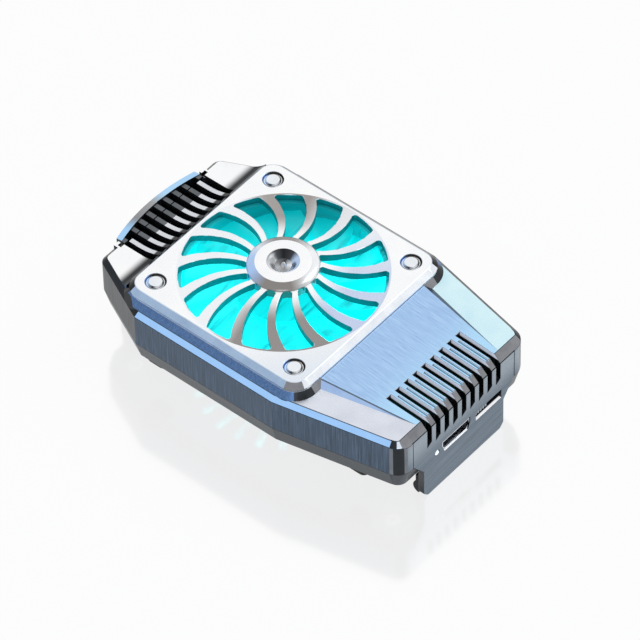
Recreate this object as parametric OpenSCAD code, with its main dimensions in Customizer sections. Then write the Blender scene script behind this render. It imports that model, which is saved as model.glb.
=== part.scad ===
// Clip-on cooling fan for a phone: a 40 mm fan under a sickle-vane grille, in a
// two-part shell with a fixed jaw at the port end and a sprung jaw at the comb end.
// Origin: where the fan's axis meets the underside. +X runs to the port end.

/* [Shell outline] */
// Distance from the fan frame to the shell's outside, where the shell is widest
side_room = 2.4; // [2.2:0.1:3.5]
// X where the widest stretch starts
wide_x0 = -15.6; // [-17:0.1:-13]
// X where the widest stretch ends
wide_x1 = 16.1; // [13:0.1:18]
// X of the comb end face
comb_x = -29.3; // [-31:0.1:-29]
// Half width at the comb end face
comb_hw = 15.9; // [15.5:0.1:16.5]
// Corner radius at the comb end
comb_r = 1.8; // [1.5:0.1:2.5]
// X of the port end face
port_x = 41.1; // [40.6:0.1:43]
// Half width at the port end face, corner not rounded
port_hw = 17.1; // [16.8:0.1:18]
// Corner radius at the port end
port_r = 3; // [2:0.1:3.4]

/* [Shell heights and walls] */
// Height of the bevel round the underside
bevel_h = 3.7; // [3.6:0.1:4.2]
// How far that bevel leans in
bevel_in = 0.95; // [0.6:0.05:1]
// Height of the upright side wall
wall_h = 6.9; // [6.7:0.1:8]
// Chamfer between the side wall and the deck
strip = 1.0; // [0.6:0.1:1.2]
// Chamfer along the top of the port end
end_chamfer = 1.5; // [1:0.1:1.8]
// Thickness of the side walls
wall_t = 1.3; // [1.1:0.05:1.4]
// Thickness of the deck
deck_t = 1.3; // [1:0.05:1.5]
// Thickness of the floor
floor_t = 1.2; // [1:0.05:1.3]
// Height of the lip that locates the two halves
lip_h = 1.0; // [0.6:0.1:1.4]
// Thickness of that lip
lip_t = 0.7; // [0.5:0.05:0.8]
// Clearance between parts that only fit together
fit_gap = 0.1; // [0.05:0.01:0.15]

/* [Grille plate] */
// How far the plate's flat top stops short of the fan frame
plate_in = 0.65; // [0.4:0.05:0.8]
// Bevel round the plate
plate_bevel = 1.05; // [0.8:0.05:1.2]
// Corner radius of the flat top
plate_r = 2.6; // [1.5:0.1:4]
// Thickness of the plate
plate_t = 1.4; // [1.3:0.05:1.8]
// Height of the plate's top above the deck
plate_rise = 2.7; // [2.5:0.1:3.2]
// Lean of the raised wall's corners over the comb end's tapers
corner_lean = 0.9; // [0.5:0.05:0.95]
// How far the raised wall under the plate leans out
housing_draft = 1.0; // [0.6:0.1:1]
// Thickness of the raised wall at its top
housing_t = 1.25; // [1.1:0.05:1.4]

/* [Grille vanes] */
// Distance from the opening to the edge of the plate's flat top
window_edge = 0.65; // [0.55:0.05:1.2]
// Number of vanes
vane_count = 15; // [11:1:17]
// Width of a vane at the hub
vane_w_hub = 1.05; // [0.8:0.05:1.3]
// Width of a vane halfway out
vane_w_mid = 1.5; // [1.2:0.05:1.8]
// Width of a vane at the rim
vane_w_rim = 2.4; // [1.8:0.05:2.8]
// How far a vane bows sideways at its middle
vane_bow = 1.25; // [0.8:0.05:1.5]
// Angle by which a vane's hub end trails its rim end
vane_lean = 3.6; // [2:0.1:5]
// Depth of a vane
vane_t = 1.6; // [1.4:0.1:2]
// Rise of the vanes from rim to hub
dome_rise = 1.8; // [1:0.1:2.2]
// Radius of the window corners at the rim
rim_fillet = 0.6; // [0.3:0.05:0.8]
// Radius of the window corners at the hub
hub_fillet = 0.4; // [0.2:0.05:0.5]
// Angle of the first vane's rim end
vane_phase = -3.8; // [-12:0.1:12]

/* [Grille hub] */
// Outer radius of the hub
hub_r = 6.6; // [6.2:0.1:7]
// Width of the sloped band round the hub
hub_band = 2.2; // [0.8:0.1:2.6]
// Height of the hub's ring above the vanes
hub_ring_h = 1.0; // [0.6:0.1:1.4]
// Radius of the dimple in the middle
dimple_r = 3; // [2.6:0.1:3.6]
// Depth of the dimple
dimple_d = 1.2; // [0.8:0.1:1.4]
// Radius of the knob in the dimple
peak_r = 1; // [0.7:0.1:1.4]
// Height of that knob
peak_h = 0.9; // [0.5:0.1:1.1]

/* [Ramp and vents] */
// X where the ramp starts, at the plate
ramp_x0 = 20.9; // [20.6:0.1:21.3]
// Half width of the ramp at the plate
ramp_hw0 = 14.2; // [13:0.1:15]
// Half width of the ramp at the port end
ramp_hw1 = 11.2; // [11.05:0.05:12]
// Height of the ramp above the deck at the plate
ramp_rise = 1.2; // [0.8:0.1:1.6]
// How far the ramp reaches into the raised wall
plate_lap = 1.2; // [0.6:0.1:1.6]
// Width of the ramp's sloped sides at the plate
ramp_flank = 1.5; // [0.8:0.1:2]
// Number of vent slots
vent_count = 9; // [5:2:9]
// Distance between vent slots
vent_pitch = 2.37; // [2.2:0.01:2.4]
// Width of a vent slot
vent_w = 1.2; // [0.9:0.05:1.3]
// X where the vent slots start
vent_x0 = 31.9; // [30:0.1:34]
// Height of the foot of the vent slots
vent_z0 = 5.6; // [5.3:0.1:7.5]
// How much one side of that foot is higher than the other
vent_slant = 0.7; // [0.2:0.1:1]
// Width of the groove along each rib between the slots
groove_w = 0.3; // [0.2:0.05:0.4]
// Depth of that groove
groove_d = 0.2; // [0.1:0.05:0.3]

/* [Comb] */
// Half width of the opening between the shoulders
comb_gap_hw = 11; // [10.8:0.1:11.4]
// Number of comb fins
fin_count = 9; // [5:2:9]
// Distance between comb fins
fin_pitch = 2.3; // [2.1:0.05:2.35]
// Thickness of a comb fin
fin_t = 0.95; // [0.7:0.05:1.1]
// Depth of the fins' flat ends below the deck
fin_drop = 0.3; // [0.1:0.05:0.6]
// X where the fins end, at the jaw
fin_x = -28; // [-28.2:0.1:-27.6]
// X where the fins start to curve up to the grille plate
fin_curve_x = -25.6; // [-26.2:0.1:-24.6]
// Thickness of the web under the fins
web_t = 1.2; // [0.8:0.1:1.4]
// Radius of the hollow between shoulder and raised wall
shoulder_hollow = 2.6; // [1.8:0.1:3]
// Length of the notch in each shoulder's inner corner
notch_l = 0.7; // [0.4:0.1:0.9]
// Width and depth of that notch
notch_w = 0.8; // [0.4:0.1:1]

/* [Jaws] */
// Height of the jaws below the underside
jaw_drop = 6.9; // [6:0.1:10]
// Half width of the jaws
jaw_hw = 11; // [10:0.1:11.2]
// Chamfer at the lower corners of the jaws
jaw_corner = 1; // [0.5:0.1:2]
// Thickness of the port end's plate
end_t = 1.4; // [1.2:0.05:1.6]
// Half width of the port end's plate
end_hw = 13.9; // [13:0.1:14]
// Radius of the locating pegs on the port end's plate
peg_r = 0.8; // [0.6:0.05:1]
// Y of the locating pegs
peg_y = 12.4; // [12:0.1:12.8]
// Thickness of the sliding jaw's wall
jaw_t = 1.25; // [1:0.05:1.3]
// X of the sliding jaw's outermost point
jaw_x = -31.5; // [-31.8:0.1:-31.2]
// How far the sliding jaw's wall bows out
jaw_bow = 1.5; // [1:0.1:1.7]
// Fall of the sliding jaw's top from its inner to its outer edge
jaw_fall = 0.2; // [0.1:0.1:1]
// Half width of the part of the sliding jaw between the shoulders
jaw_neck_hw = 10.6; // [10.3:0.05:10.7]
// How far the jaw opens
travel = 21; // [16:0.5:21]
// How far the fixed jaw's rubber stays inside the sides of its plate
grip_in = 0.1; // [0.1:0.1:1]
// Thickness of the rubber on the jaws
grip_t = 0.8; // [0.6:0.05:1]
// Distance from the underside to the top of that rubber
grip_drop = 2.1; // [2.05:0.05:2.8]
// Radius of the bead along the foot of that rubber
bead_r = 1.4; // [1:0.05:1.5]
// Height of that bead above the foot of the jaw
bead_rise = 0.3; // [0.2:0.1:0.8]

/* [Slide] */
// Thickness of the sliding tongue
tongue_t = 2.5; // [2:0.1:2.6]
// X where the tongue ends
tongue_x1 = 14; // [10:0.5:17]
// Width of the slots in the tongue
tongue_slot_w = 5.4; // [4:0.1:6]
// Half width of the bar between those slots
tongue_bar = 1; // [0.8:0.1:1.4]
// Length of the solid part at each end of the tongue
tongue_end = 3; // [2:0.1:4]
// Running clearance round the tongue
slide_gap = 0.15; // [0.1:0.01:0.2]
// Height of the rails beside the tongue
rail_h = 0.9; // [0.6:0.1:1]
// Thickness of the rails
rail_t = 1; // [0.8:0.1:1.1]
// Length of the ears that pull the springs, along X
ear_l = 3; // [2:0.1:4]
// Clearance between the springs and the posts of the grille pins
spring_room = 0.9; // [0.8:0.05:1.2]
// Clearance between the springs and the rails
rail_room = 0.65; // [0.5:0.05:0.8]
// Outer radius of the springs
spring_r = 1.1; // [1:0.05:1.15]
// Diameter of the spring wire
spring_wire = 0.45; // [0.35:0.05:0.5]
// Number of turns of each spring
spring_turns = 20; // [12:1:24]
// X of the posts that anchor the springs
anchor_x = 21; // [20:0.1:21.5]
// Length of those posts, along X
anchor_l = 2; // [1.5:0.1:2.4]

/* [Fan] */
// Side of the fan frame
fan_size = 40; // [39:0.1:40.2]
// Thickness of the fan frame
fan_t = 7; // [6.6:0.1:7.2]
// Thickness of the fan frame where its bore comes nearest to its side
fan_rim = 1; // [0.9:0.05:1.3]
// Distance from the fan's fixing holes to its sides
fan_hole_in = 4; // [3.8:0.05:4.3]
// Diameter of the fan's fixing holes
fan_hole = 3.6; // [3:0.1:4.4]
// Corner radius of the fan frame
fan_r = 3; // [2:0.1:4]
// Play round the fan frame
fan_play = 0.15; // [0.1:0.01:0.3]
// How far the motor seat reaches past the rotor's hub
motor_out = 0.4; // [0.2:0.1:0.8]
// Thickness of the motor seat
motor_t = 1; // [0.8:0.1:1.4]
// Width of the four struts that carry the motor seat
strut_w = 2.6; // [2:0.1:4]
// Outer radius of the bearing tube
tube_r = 2.9; // [2.6:0.05:3]
// Outer radius of the bearing sleeve
sleeve_r = 2; // [1.8:0.05:2.1]
// Length of the bearing sleeve
sleeve_l = 4; // [3.4:0.1:4.2]
// Radius of the shaft
shaft_r = 0.75; // [0.6:0.05:1]
// Radial clearance of the shaft in its sleeve
shaft_fit = 0.02; // [0.015:0.005:0.04]
// Thickness of the motor's circuit board
motor_board_t = 0.8; // [0.6:0.1:0.9]
// Number of stator poles
pole_count = 4; // [4:2:6]
// Thickness of the stator's laminations
stator_t = 1.8; // [1.4:0.1:2]

/* [Rotor] */
// Outer radius of the rotor's hub
rotor_hub_r = 9; // [8.8:0.1:9.3]
// Wall of the rotor's hub
rotor_hub_t = 0.6; // [0.5:0.05:0.7]
// Height of the rotor
rotor_h = 4.9; // [4.6:0.1:5]
// Number of blades
blade_count = 11; // [5:1:11]
// Tip clearance of the blades in the bore
tip_gap = 0.7; // [0.5:0.1:1.2]
// Angle that a blade covers
blade_chord = 48; // [24:1:50]
// Angle by which a blade's tip leads its root
blade_sweep = 14; // [0:1:20]
// Height that a blade falls from its leading to its trailing edge
blade_fall = 3.2; // [2.6:0.1:4]
// Distance from the rotor's top to the blades
blade_in = 0.45; // [0.4:0.05:0.8]
// Rise of a blade's middle over the line between its edges
blade_camber = 0.5; // [0.2:0.1:0.6]
// Thickness of a blade
blade_t = 0.6; // [0.5:0.05:0.8]
// Radial thickness of the magnet ring
magnet_t = 1.2; // [1:0.05:1.3]
// Thickness of the steel ring round the magnet
yoke_t = 0.4; // [0.3:0.05:0.5]

/* [Light ring] */
// Thickness of the light ring's board
light_board_t = 0.8; // [0.6:0.1:1]
// How far that board reaches into the grille's opening
light_board_in = 0.6; // [0.4:0.05:0.7]
// Height of a light on it
light_h = 0.6; // [0.4:0.1:0.7]
// Distance of the lights from the board's opening
light_out = 2.2; // [1.8:0.1:2.4]

/* [Fasteners] */
// Radius of a grille pin's visible head
pin_head_r = 1.5; // [1.2:0.05:1.6]
// Radius of the counterbore round that head
pin_ring_r = 1.95; // [1.8:0.05:2.1]
// Radius of a grille pin's shank
pin_r = 1.3; // [1:0.05:1.35]
// Radius of the posts that take the grille pins
post_r = 2.1; // [1.9:0.05:2.2]
// Radius of a cover screw's shank
screw_r = 0.75; // [0.6:0.05:0.85]
// Radius of a cover screw's head
screw_head_r = 1.45; // [1.3:0.05:1.6]
// Height of a cover screw's head
screw_head_h = 0.9; // [0.7:0.05:1]
// Length of a cover screw's shank
screw_l = 7; // [5:0.5:8]
// Radius of the screw bosses
boss_r = 1.55; // [1.45:0.05:1.6]
// X of the cover screws at the comb end
boss_x0 = -23.4; // [-24:0.1:-23]
// Y of the cover screws at the comb end
boss_y0 = 14.6; // [14.55:0.05:14.65]
// X of the cover screws at the port end
boss_x1 = 36; // [35:0.1:36.4]
// Y of the cover screws at the port end
boss_y1 = 13.6; // [13.4:0.1:14]

/* [Board and ports] */
// X where the circuit board starts
board_x0 = 24.6; // [24.3:0.1:26]
// Half width of the circuit board
board_hw = 11.4; // [11:0.1:11.6]
// Length of the ledges under the circuit board
ledge_l = 1.2; // [0.8:0.1:1.6]
// Thickness of the circuit board
board_t = 0.8; // [0.6:0.1:1]
// Height of the board's underside
board_z = 3.35; // [3.2:0.05:3.5]
// Length of the chip on the board
chip_l = 4; // [3:0.1:5]
// Height of that chip
chip_h = 1.2; // [0.8:0.1:1.6]
// Radius of the capacitor on the board
cap_r = 2.2; // [1.6:0.1:2.4]
// Height of that capacitor
cap_h = 2.2; // [1.6:0.1:3]
// Length of the fan's plug on the board
plug_l = 5; // [4:0.1:6]
// Width of the charging socket
usb_w = 7.5; // [7.4:0.1:7.8]
// Height of the charging socket
usb_h = 2.45; // [2.4:0.05:2.5]
// Depth of the charging socket
usb_l = 5.6; // [5:0.1:6]
// Wall of the charging socket
usb_wall = 0.25; // [0.2:0.05:0.35]
// Y of the charging socket's middle
usb_y = -2.2; // [-2.4:0.1:-1.3]
// Y of the switch slot's middle
switch_y = 6.8; // [6.6:0.1:7.6]
// Length of the switch slot
switch_w = 7; // [6.6:0.1:7.2]
// Height of the switch slot
switch_h = 2; // [1.8:0.1:2.1]
// Length of the switch knob
knob_w = 3.4; // [3:0.1:3.5]
// Depth of the switch's body
switch_d = 3.4; // [3:0.1:3.6]
// Y of the charge light's middle
lamp_y = -7.4; // [-7.6:0.1:-7.1]
// Radius of the charge light's pipe
lamp_r = 0.45; // [0.4:0.05:0.6]

/* [Pads and floor grille] */
// Thickness of the contact pads that stand out of the floor
pad_t = 1; // [0.6:0.1:1.4]
// Depth of the recess that holds each pad
pad_seat = 0.3; // [0.2:0.05:0.5]
// Length of a contact pad
pad_l = 4.6; // [4:0.1:5]
// Width of a contact pad
pad_w = 2.4; // [2:0.1:2.5]
// Distance from the pads to the edge of the flat floor
pad_in = 0.4; // [0.3:0.1:1]
// X of the pads at the port end
pad_x1 = 31; // [29:0.5:32]
// X of the pads at the comb end
pad_x0 = -12.5; // [-13:0.5:-10]
// Number of slots in the floor grille
floor_slots = 24; // [16:1:24]
// Width of a floor slot
floor_slot_w = 1.3; // [1:0.1:1.4]
// Radius where the floor slots start
floor_slot_r0 = 7; // [6:0.5:9]
// Radius where the floor slots end
floor_slot_r1 = 17; // [14:0.5:17.5]

/* [Hidden] */
$fn = 48;
slice = 0.01;
least_r = 0.3;
over = 1;
half_w = fan_size / 2 + side_room;
fan_bore = fan_size - 2 * fan_rim;
motor_r = rotor_hub_r + motor_out;
fan_pitch = fan_size - 2 * fan_hole_in;
plate_half = fan_size / 2 - plate_in;
window_r = plate_half - window_edge;
light_board_r = window_r - light_board_in;
light_r = light_board_r + light_out;
pin_xy = fan_pitch / 2;
spring_y = pin_xy - post_r - spring_r - spring_room;
tongue_hw = spring_y - spring_r - rail_room - rail_t - slide_gap;
part_z = bevel_h;
edge_z = part_z + wall_h;
deck_z = edge_z + strip;
roof_z = deck_z - deck_t;
plate_z1 = deck_z + plate_rise;
plate_z0 = plate_z1 - plate_t;
plate_out = plate_half + plate_bevel;
tongue_z0 = floor_t + slide_gap;
tongue_z1 = tongue_z0 + tongue_t;
fan_z0 = tongue_z1 + slide_gap + 0.2;
fan_z1 = fan_z0 + fan_t;
seat_z1 = fan_z0 + motor_t;
motor_board_z1 = seat_z1 + motor_board_t;
light_z1 = plate_z0;
light_z0 = light_z1 - light_board_t;
web_z0 = tongue_z1 + slide_gap;
fin_z = deck_z - fin_drop;
board_x1 = port_x - end_t - wall_t - 2 * fit_gap;
port_z = board_z - usb_h / 2;
end_x = port_x - end_t;
rotor_z0 = motor_board_z1 + 0.2;
rotor_z1 = rotor_z0 + rotor_h;
cup_t = 1.1;
magnet_r1 = rotor_hub_r - rotor_hub_t - yoke_t;
magnet_r0 = magnet_r1 - magnet_t;
magnet_h = 3.2;
jaw_end_x = fin_x - 0.2;
inner_x1 = end_x - wall_t;
ear_y1 = spring_y + spring_r - 0.3;
ear_x = comb_x + wall_t + slide_gap + ear_l / 2 + travel;
spring_z = (tongue_z0 + tongue_z1) / 2;

// Slopes of the two tapers, and the angle of each one's outward normal.
port_slope = (port_hw - half_w) / (port_x - wide_x1);
comb_slope = (half_w - comb_hw) / (wide_x0 - comb_x);
port_normal = atan2(1, -port_slope);
comb_normal = atan2(1, -comb_slope);

function port_side(x, inset) =
  half_w + port_slope * (x - wide_x1) - inset * sqrt(1 + pow(port_slope, 2));
function comb_side(x, inset) =
  half_w + comb_slope * (x - wide_x0) - inset * sqrt(1 + pow(comb_slope, 2));
function arc(cx, cy, r, a0, a1, steps = 6) =
  [for (i = [0 : steps]) [cx, cy] + r * [for (t = [a0 + (a1 - a0) * i / steps]) each [cos(t), sin(t)]]];

// The shell's outline seen from above, every side moved in by inset.
function half_outline(inset) =
  let (rp = max(port_r - inset, least_r), rc = max(comb_r - inset, least_r),
    xp = port_x - inset - rp, xc = comb_x + inset + rc)
  concat(
    arc(xp, port_side(xp, inset + rp), rp, 0, port_normal),
    [[wide_x1 + inset * (sqrt(1 + pow(port_slope, 2)) - 1) / port_slope, half_w - inset],
     [wide_x0 + inset * (sqrt(1 + pow(comb_slope, 2)) - 1) / comb_slope, half_w - inset]],
    arc(xc, comb_side(xc, inset + rc), rc, comb_normal, 180));
function outline(inset) = let (half = half_outline(inset), n = len(half))
  concat(half, [for (i = [n - 1 : -1 : 0]) [half[i].x, -half[i].y]]);

module both_sides() {
  children();
  mirror([0, 1, 0]) children();
}

module both_ways() {
  children();
  mirror([1, 0]) children();
}

module four_corners(d) {
  for (x = [-1, 1], y = [-1, 1])
    translate([x * d, y * d, 0]) children();
}

module span(x0, x1, y0, y1, z0, z1) {
  translate([x0, y0, z0]) cube([x1 - x0, y1 - y0, z1 - z0]);
}

module drum(r, z0, z1) {
  translate([0, 0, z0]) cylinder(r = r, h = z1 - z0);
}

module ring(r0, r1, z0, z1) {
  difference() {
    drum(r1, z0, z1);
    drum(r0, z0 - over, z1 + over);
  }
}

// A block with the shell's outline, which may lean from one inset to another.
module shell_block(z0, z1, inset0, inset1) {
  if (inset0 == inset1)
    translate([0, 0, z0]) linear_extrude(z1 - z0) polygon(outline(inset0));
  else let (low = outline(inset0), high = outline(inset1), n = len(low))
    polyhedron(
      points = concat([for (p = low) [p.x, p.y, z0]], [for (p = high) [p.x, p.y, z1]]),
      faces = concat([[for (i = [0 : n - 1]) i], [for (i = [n - 1 : -1 : 0]) n + i]],
        [for (i = [0 : n - 1], k = [0, 1]) let (j = (i + 1) % n)
          k == 0 ? [i, n + i, n + j] : [i, n + j, j]]));
}

// The inside of the shell, which stops at the wall of the port end.
module shell_inside(z0, z1, inset, x1) {
  intersection() {
    shell_block(z0, z1, inset, inset);
    span(comb_x, x1, -half_w, half_w, z0 - over, z1 + over);
  }
}

// A square with round corners, standing on its middle.
module round_square(half, r, z0, z1) {
  translate([0, 0, z0]) linear_extrude(z1 - z0) {
    square([2 * half, 2 * (half - r)], center = true);
    square([2 * (half - r), 2 * half], center = true);
    four_corners(half - r) circle(r = r);
  }
}

// A bar along Y with the given outline in X and Z.
module bar_along_y(hw, points) {
  translate([0, hw, 0]) rotate([90, 0, 0]) linear_extrude(2 * hw) polygon(points);
}

/* Upper shell */

module raised_wall() {
  foot = plate_out + housing_draft;
  foot_r = plate_r + plate_bevel + housing_draft;
  intersection() {
    union() {
      round_square(foot, foot_r, edge_z, deck_z);
      hull() {
        round_square(foot, foot_r, deck_z - slice, deck_z);
        round_square(plate_out - 0.05, plate_r + plate_bevel, plate_z0 - slice, plate_z0);
      }
    }
    shell_block(edge_z, plate_z0, 0, corner_lean);
  }
}

module ramp() {
  x0 = ramp_x0 - plate_lap;
  hull() for (y = [-1, 1]) {
    translate([x0, y * (ramp_hw0 + ramp_flank), deck_z - slice]) cube(slice, center = true);
    translate([x0, y * ramp_hw0, deck_z + ramp_rise]) cube(slice, center = true);
    translate([port_x - end_chamfer, y * ramp_hw1, deck_z - slice]) cube(slice, center = true);
  }
}

// The curved flank that lifts a shoulder or a fin up to the raised wall.
module hollow_flank(x_start, z_flat, x_end, z_end, hw) {
  run = x_end - x_start;
  rise = z_end - z_flat;
  r = (run * run + rise * rise) / (2 * rise);
  difference() {
    span(x_start, x_end, -hw, hw, z_flat - over, z_end);
    translate([x_start, 0, z_flat + r]) rotate([90, 0, 0])
      cylinder(r = r, h = 2 * hw + 2 * over, center = true, $fn = 96);
  }
}

module shoulder_flank() {
  intersection() {
    both_sides() translate([0, (comb_gap_hw + plate_half) / 2, 0])
      hollow_flank(-plate_out - housing_draft - shoulder_hollow + 0.6, deck_z,
        -plate_out + 0.1, plate_z0, (plate_half - comb_gap_hw) / 2);
    shell_block(deck_z - over, plate_z0, strip, strip);
  }
}

module fin() {
  span(fin_x, -fan_size / 2 - 2 * fan_play, -fin_t / 2, fin_t / 2, web_z0 + web_t / 2, fin_z - 0.5);
  span(fin_x, fin_curve_x + slice, -fin_t / 2, fin_t / 2, fin_z - over, fin_z);
  hollow_flank(fin_curve_x, fin_z, -plate_out + 0.1, plate_z0, fin_t / 2);
}

module comb() {
  for (i = [0 : fin_count - 1])
    translate([0, (i - (fin_count - 1) / 2) * fin_pitch, 0]) fin();
  span(fin_x, -fan_size / 2 - 2 * fan_play, -comb_gap_hw - over / 2, comb_gap_hw + over / 2,
    web_z0, web_z0 + web_t);
}

module vent_cuts() {
  w = vent_w / 2;
  for (i = [0 : vent_count - 1]) translate([0, (i - (vent_count - 1) / 2) * vent_pitch, 0])
    extrude_x(vent_x0, port_x + over)
      polygon([[-w, vent_z0], [w, vent_z0 + vent_slant], [w, plate_z1], [-w, plate_z1]]);
}

// A shallow groove runs down the middle of each rib, square to the ramp's slope.
module rib_grooves() {
  x1 = port_x - end_chamfer;
  slope = atan2(ramp_rise, x1 - ramp_x0 + plate_lap);
  for (i = [0.5 : vent_count - 1.5]) translate([x1, (i - (vent_count - 1) / 2) * vent_pitch, deck_z])
    rotate([0, slope, 0])
      span(vent_x0 - x1 + vent_w, over, -groove_w / 2, groove_w / 2, -groove_d, over);
}

// Outline of the port end's plate, looked at along X, grown all round by grow.
module end_outline(grow) {
  z_low = -jaw_drop - grow;
  hw = jaw_hw + grow;
  polygon([[-end_hw - grow, edge_z + strip - end_chamfer + grow], [-end_hw - grow, part_z],
    [-hw, 0], [-hw, z_low + jaw_corner], [-hw + jaw_corner, z_low],
    [hw - jaw_corner, z_low], [hw, z_low + jaw_corner], [hw, 0],
    [end_hw + grow, part_z], [end_hw + grow, edge_z + strip - end_chamfer + grow]]);
}

module extrude_x(x0, x1) {
  translate([x0, 0, 0]) rotate([90, 0, 90]) linear_extrude(x1 - x0) children();
}

module end_pocket() {
  extrude_x(end_x - fit_gap / 2, port_x + over) end_outline(fit_gap);
}

module port_chamfer() {
  bar_along_y(half_w, [[port_x - end_chamfer, deck_z + slice],
    [port_x + over, deck_z + slice], [port_x + over, deck_z - end_chamfer - over],
    [port_x, deck_z - end_chamfer]]);
}

module shoulder_inner_walls() {
  both_sides() span(comb_x, -fan_size / 2 - 2 * fan_play, comb_gap_hw, comb_gap_hw + wall_t,
    web_z0, deck_z);
}

module shoulder_notches() {
  both_sides() span(fin_x - notch_l, fin_x, comb_gap_hw - over, comb_gap_hw + notch_w,
    deck_z - notch_w, deck_z + over);
}

module boss_places() {
  both_sides() {
    translate([boss_x0, boss_y0, 0]) children();
    translate([boss_x1, boss_y1, 0]) children();
  }
}

module upper_shell_body() {
  difference() {
    union() {
      shell_block(part_z, edge_z, 0, 0);
      shell_block(edge_z, deck_z, 0, strip);
      raised_wall();
      ramp();
      shoulder_flank();
    }
    shell_inside(part_z - over, roof_z, wall_t, inner_x1);
    round_square(fan_size / 2 + fan_play, fan_r + fan_play, part_z - over, deck_z);
    round_square(plate_out - housing_t, plate_r, deck_z - over, plate_z1);
    span(comb_x - over, -fan_size / 2 - fan_play, -comb_gap_hw, comb_gap_hw, part_z - over, deck_z);
    span(comb_x - over, -plate_out, -comb_gap_hw, comb_gap_hw, deck_z - slice, plate_z1);
    port_chamfer();
    end_pocket();
  }
}

module upper_shell() color([0.62, 0.72, 0.82]) difference() {
  union() {
    upper_shell_body();
    intersection() {
      shoulder_inner_walls();
      shell_block(part_z, deck_z, 0, 0);
    }
    comb();
    boss_places() drum(boss_r, part_z - 1.6, roof_z + slice);
  }
  vent_cuts();
  rib_grooves();
  shoulder_notches();
  boss_places() drum(screw_r - 0.05, part_z - over - 1.6, roof_z - 1.2);
  both_sides() translate([end_x - wall_t - over, peg_y, edge_z - 2.4]) rotate([0, 90, 0])
    cylinder(r = peg_r + fit_gap, h = wall_t + 2 * over);
}

/* Lower cover */

module floor_grille() {
  for (i = [0 : floor_slots - 1]) rotate(360 / floor_slots * (i + 0.5))
    span(floor_slot_r0, floor_slot_r1, -floor_slot_w / 2, floor_slot_w / 2, -over, floor_t + over);
}

module pad_places() {
  both_sides() {
    translate([pad_x1, port_side(pad_x1, bevel_in) - pad_w / 2 - pad_in, 0]) children();
    translate([pad_x0, half_w - bevel_in - pad_w / 2 - pad_in, 0]) children();
  }
}

module pad_shape(z0, z1) {
  translate([0, 0, z0]) linear_extrude(z1 - z0) {
    square([pad_l - pad_w, pad_w], center = true);
    for (x = [-1, 1]) translate([x * (pad_l - pad_w) / 2, 0]) circle(d = pad_w);
  }
}

module usb_profile(grow) {
  w = usb_w / 2 + grow;
  h = usb_h / 2 + grow;
  lean = 1.1;
  polygon([[-w, h], [w, h], [w, h - lean], [w - lean * 0.6, -h], [-w + lean * 0.6, -h], [-w, h - lean]]);
}

module port_cuts() {
  extrude_x(port_x - end_t - wall_t - over, port_x + over) {
    translate([usb_y, port_z]) usb_profile(fit_gap);
    translate([switch_y, port_z]) square([switch_w, switch_h], center = true);
    translate([lamp_y, port_z]) circle(r = lamp_r + fit_gap);
  }
}

module lower_cover_body() {
  z1 = part_z + lip_h + over;
  difference() {
    union() {
      shell_block(0, part_z, bevel_in, 0);
      shell_inside(part_z - slice, part_z + lip_h, wall_t + fit_gap, inner_x1 - fit_gap);
    }
    shell_inside(floor_t, z1, wall_t + fit_gap + lip_t, inner_x1);
    span(comb_x - over, comb_x + over, -jaw_hw - 0.2, jaw_hw + 0.2, -over, z1);
    span(comb_x - over, fin_x + over, -comb_gap_hw, comb_gap_hw, floor_t, z1);
    span(comb_x + wall_t, comb_x + wall_t + lip_t + over, -ear_y1 - 0.2, ear_y1 + 0.2, floor_t, z1);
    round_square(fan_size / 2 + fan_play, fan_r + fan_play, fan_z0, z1);
    end_pocket();
    floor_grille();
  }
}

module lower_cover() color([0.3, 0.34, 0.39]) difference() {
  union() {
    lower_cover_body();
    both_sides() span(-fan_size / 2, tongue_x1 + 1, tongue_hw + slide_gap,
      tongue_hw + slide_gap + rail_t, floor_t - slice, floor_t + rail_h);
    both_sides() span(anchor_x, anchor_x + anchor_l, spring_y - spring_r, spring_y + spring_r,
      floor_t - slice, fan_z0 - 0.3);
    four_corners(pin_xy) drum(post_r, floor_t - slice, fan_z0);
    boss_places() drum(boss_r + 0.2, floor_t - slice, part_z - 1.7);
    both_sides() for (x = [board_x0 + ledge_l, board_x1 - usb_l - ledge_l / 2])
      span(x - ledge_l / 2, x + ledge_l / 2, board_hw - 1.2, board_hw + 0.3, floor_t - slice, board_z);
  }
  span(board_x0 - 0.4, board_x1 + fit_gap, -board_hw + 1.6, board_hw - 1.6, floor_t - 0.5, part_z + lip_h);
  span(board_x1 - switch_d - fit_gap, board_x1 + fit_gap, switch_y, board_hw, floor_t - 0.3, floor_t + over);
  pad_places() pad_shape(-over, pad_seat);
  four_corners(pin_xy) drum(pin_r - 0.1, floor_t, fan_z0 + over);
  boss_places() {
    drum(screw_r + fit_gap, -over, part_z);
    drum(screw_head_r + fit_gap, -over, floor_t);
  }
  port_cuts();
}

/* Port end */

module end_plate() color([0.45, 0.5, 0.56]) {
  difference() {
    extrude_x(end_x, port_x) end_outline(0);
    vent_cuts();
    port_cuts();
  }
  both_sides() translate([end_x - wall_t - 0.3, peg_y, edge_z - 2.4]) rotate([0, 90, 0])
    cylinder(r = peg_r, h = wall_t + 0.3 + slice);
}

module grip_profile(z_top) {
  translate([0, -jaw_drop + bead_r + bead_rise]) circle(r = bead_r);
  translate([0, -jaw_drop + bead_r + bead_rise]) square([grip_t, z_top + jaw_drop - bead_r - bead_rise]);
}

// A rubber strip with a bead along its foot, its back at x = 0 and its face towards +X.
module grip_strip(hw) {
  intersection() {
    translate([0, hw, 0]) rotate([90, 0, 0]) linear_extrude(2 * hw) grip_profile(-grip_drop);
    span(0, 2 * bead_r, -hw, hw, -jaw_drop, 0);
  }
}

module fixed_jaw_grip() color([0.12, 0.13, 0.15])
  translate([end_x, 0, 0]) mirror([1, 0, 0]) grip_strip(jaw_hw - grip_in);

/* Grille plate */

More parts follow.
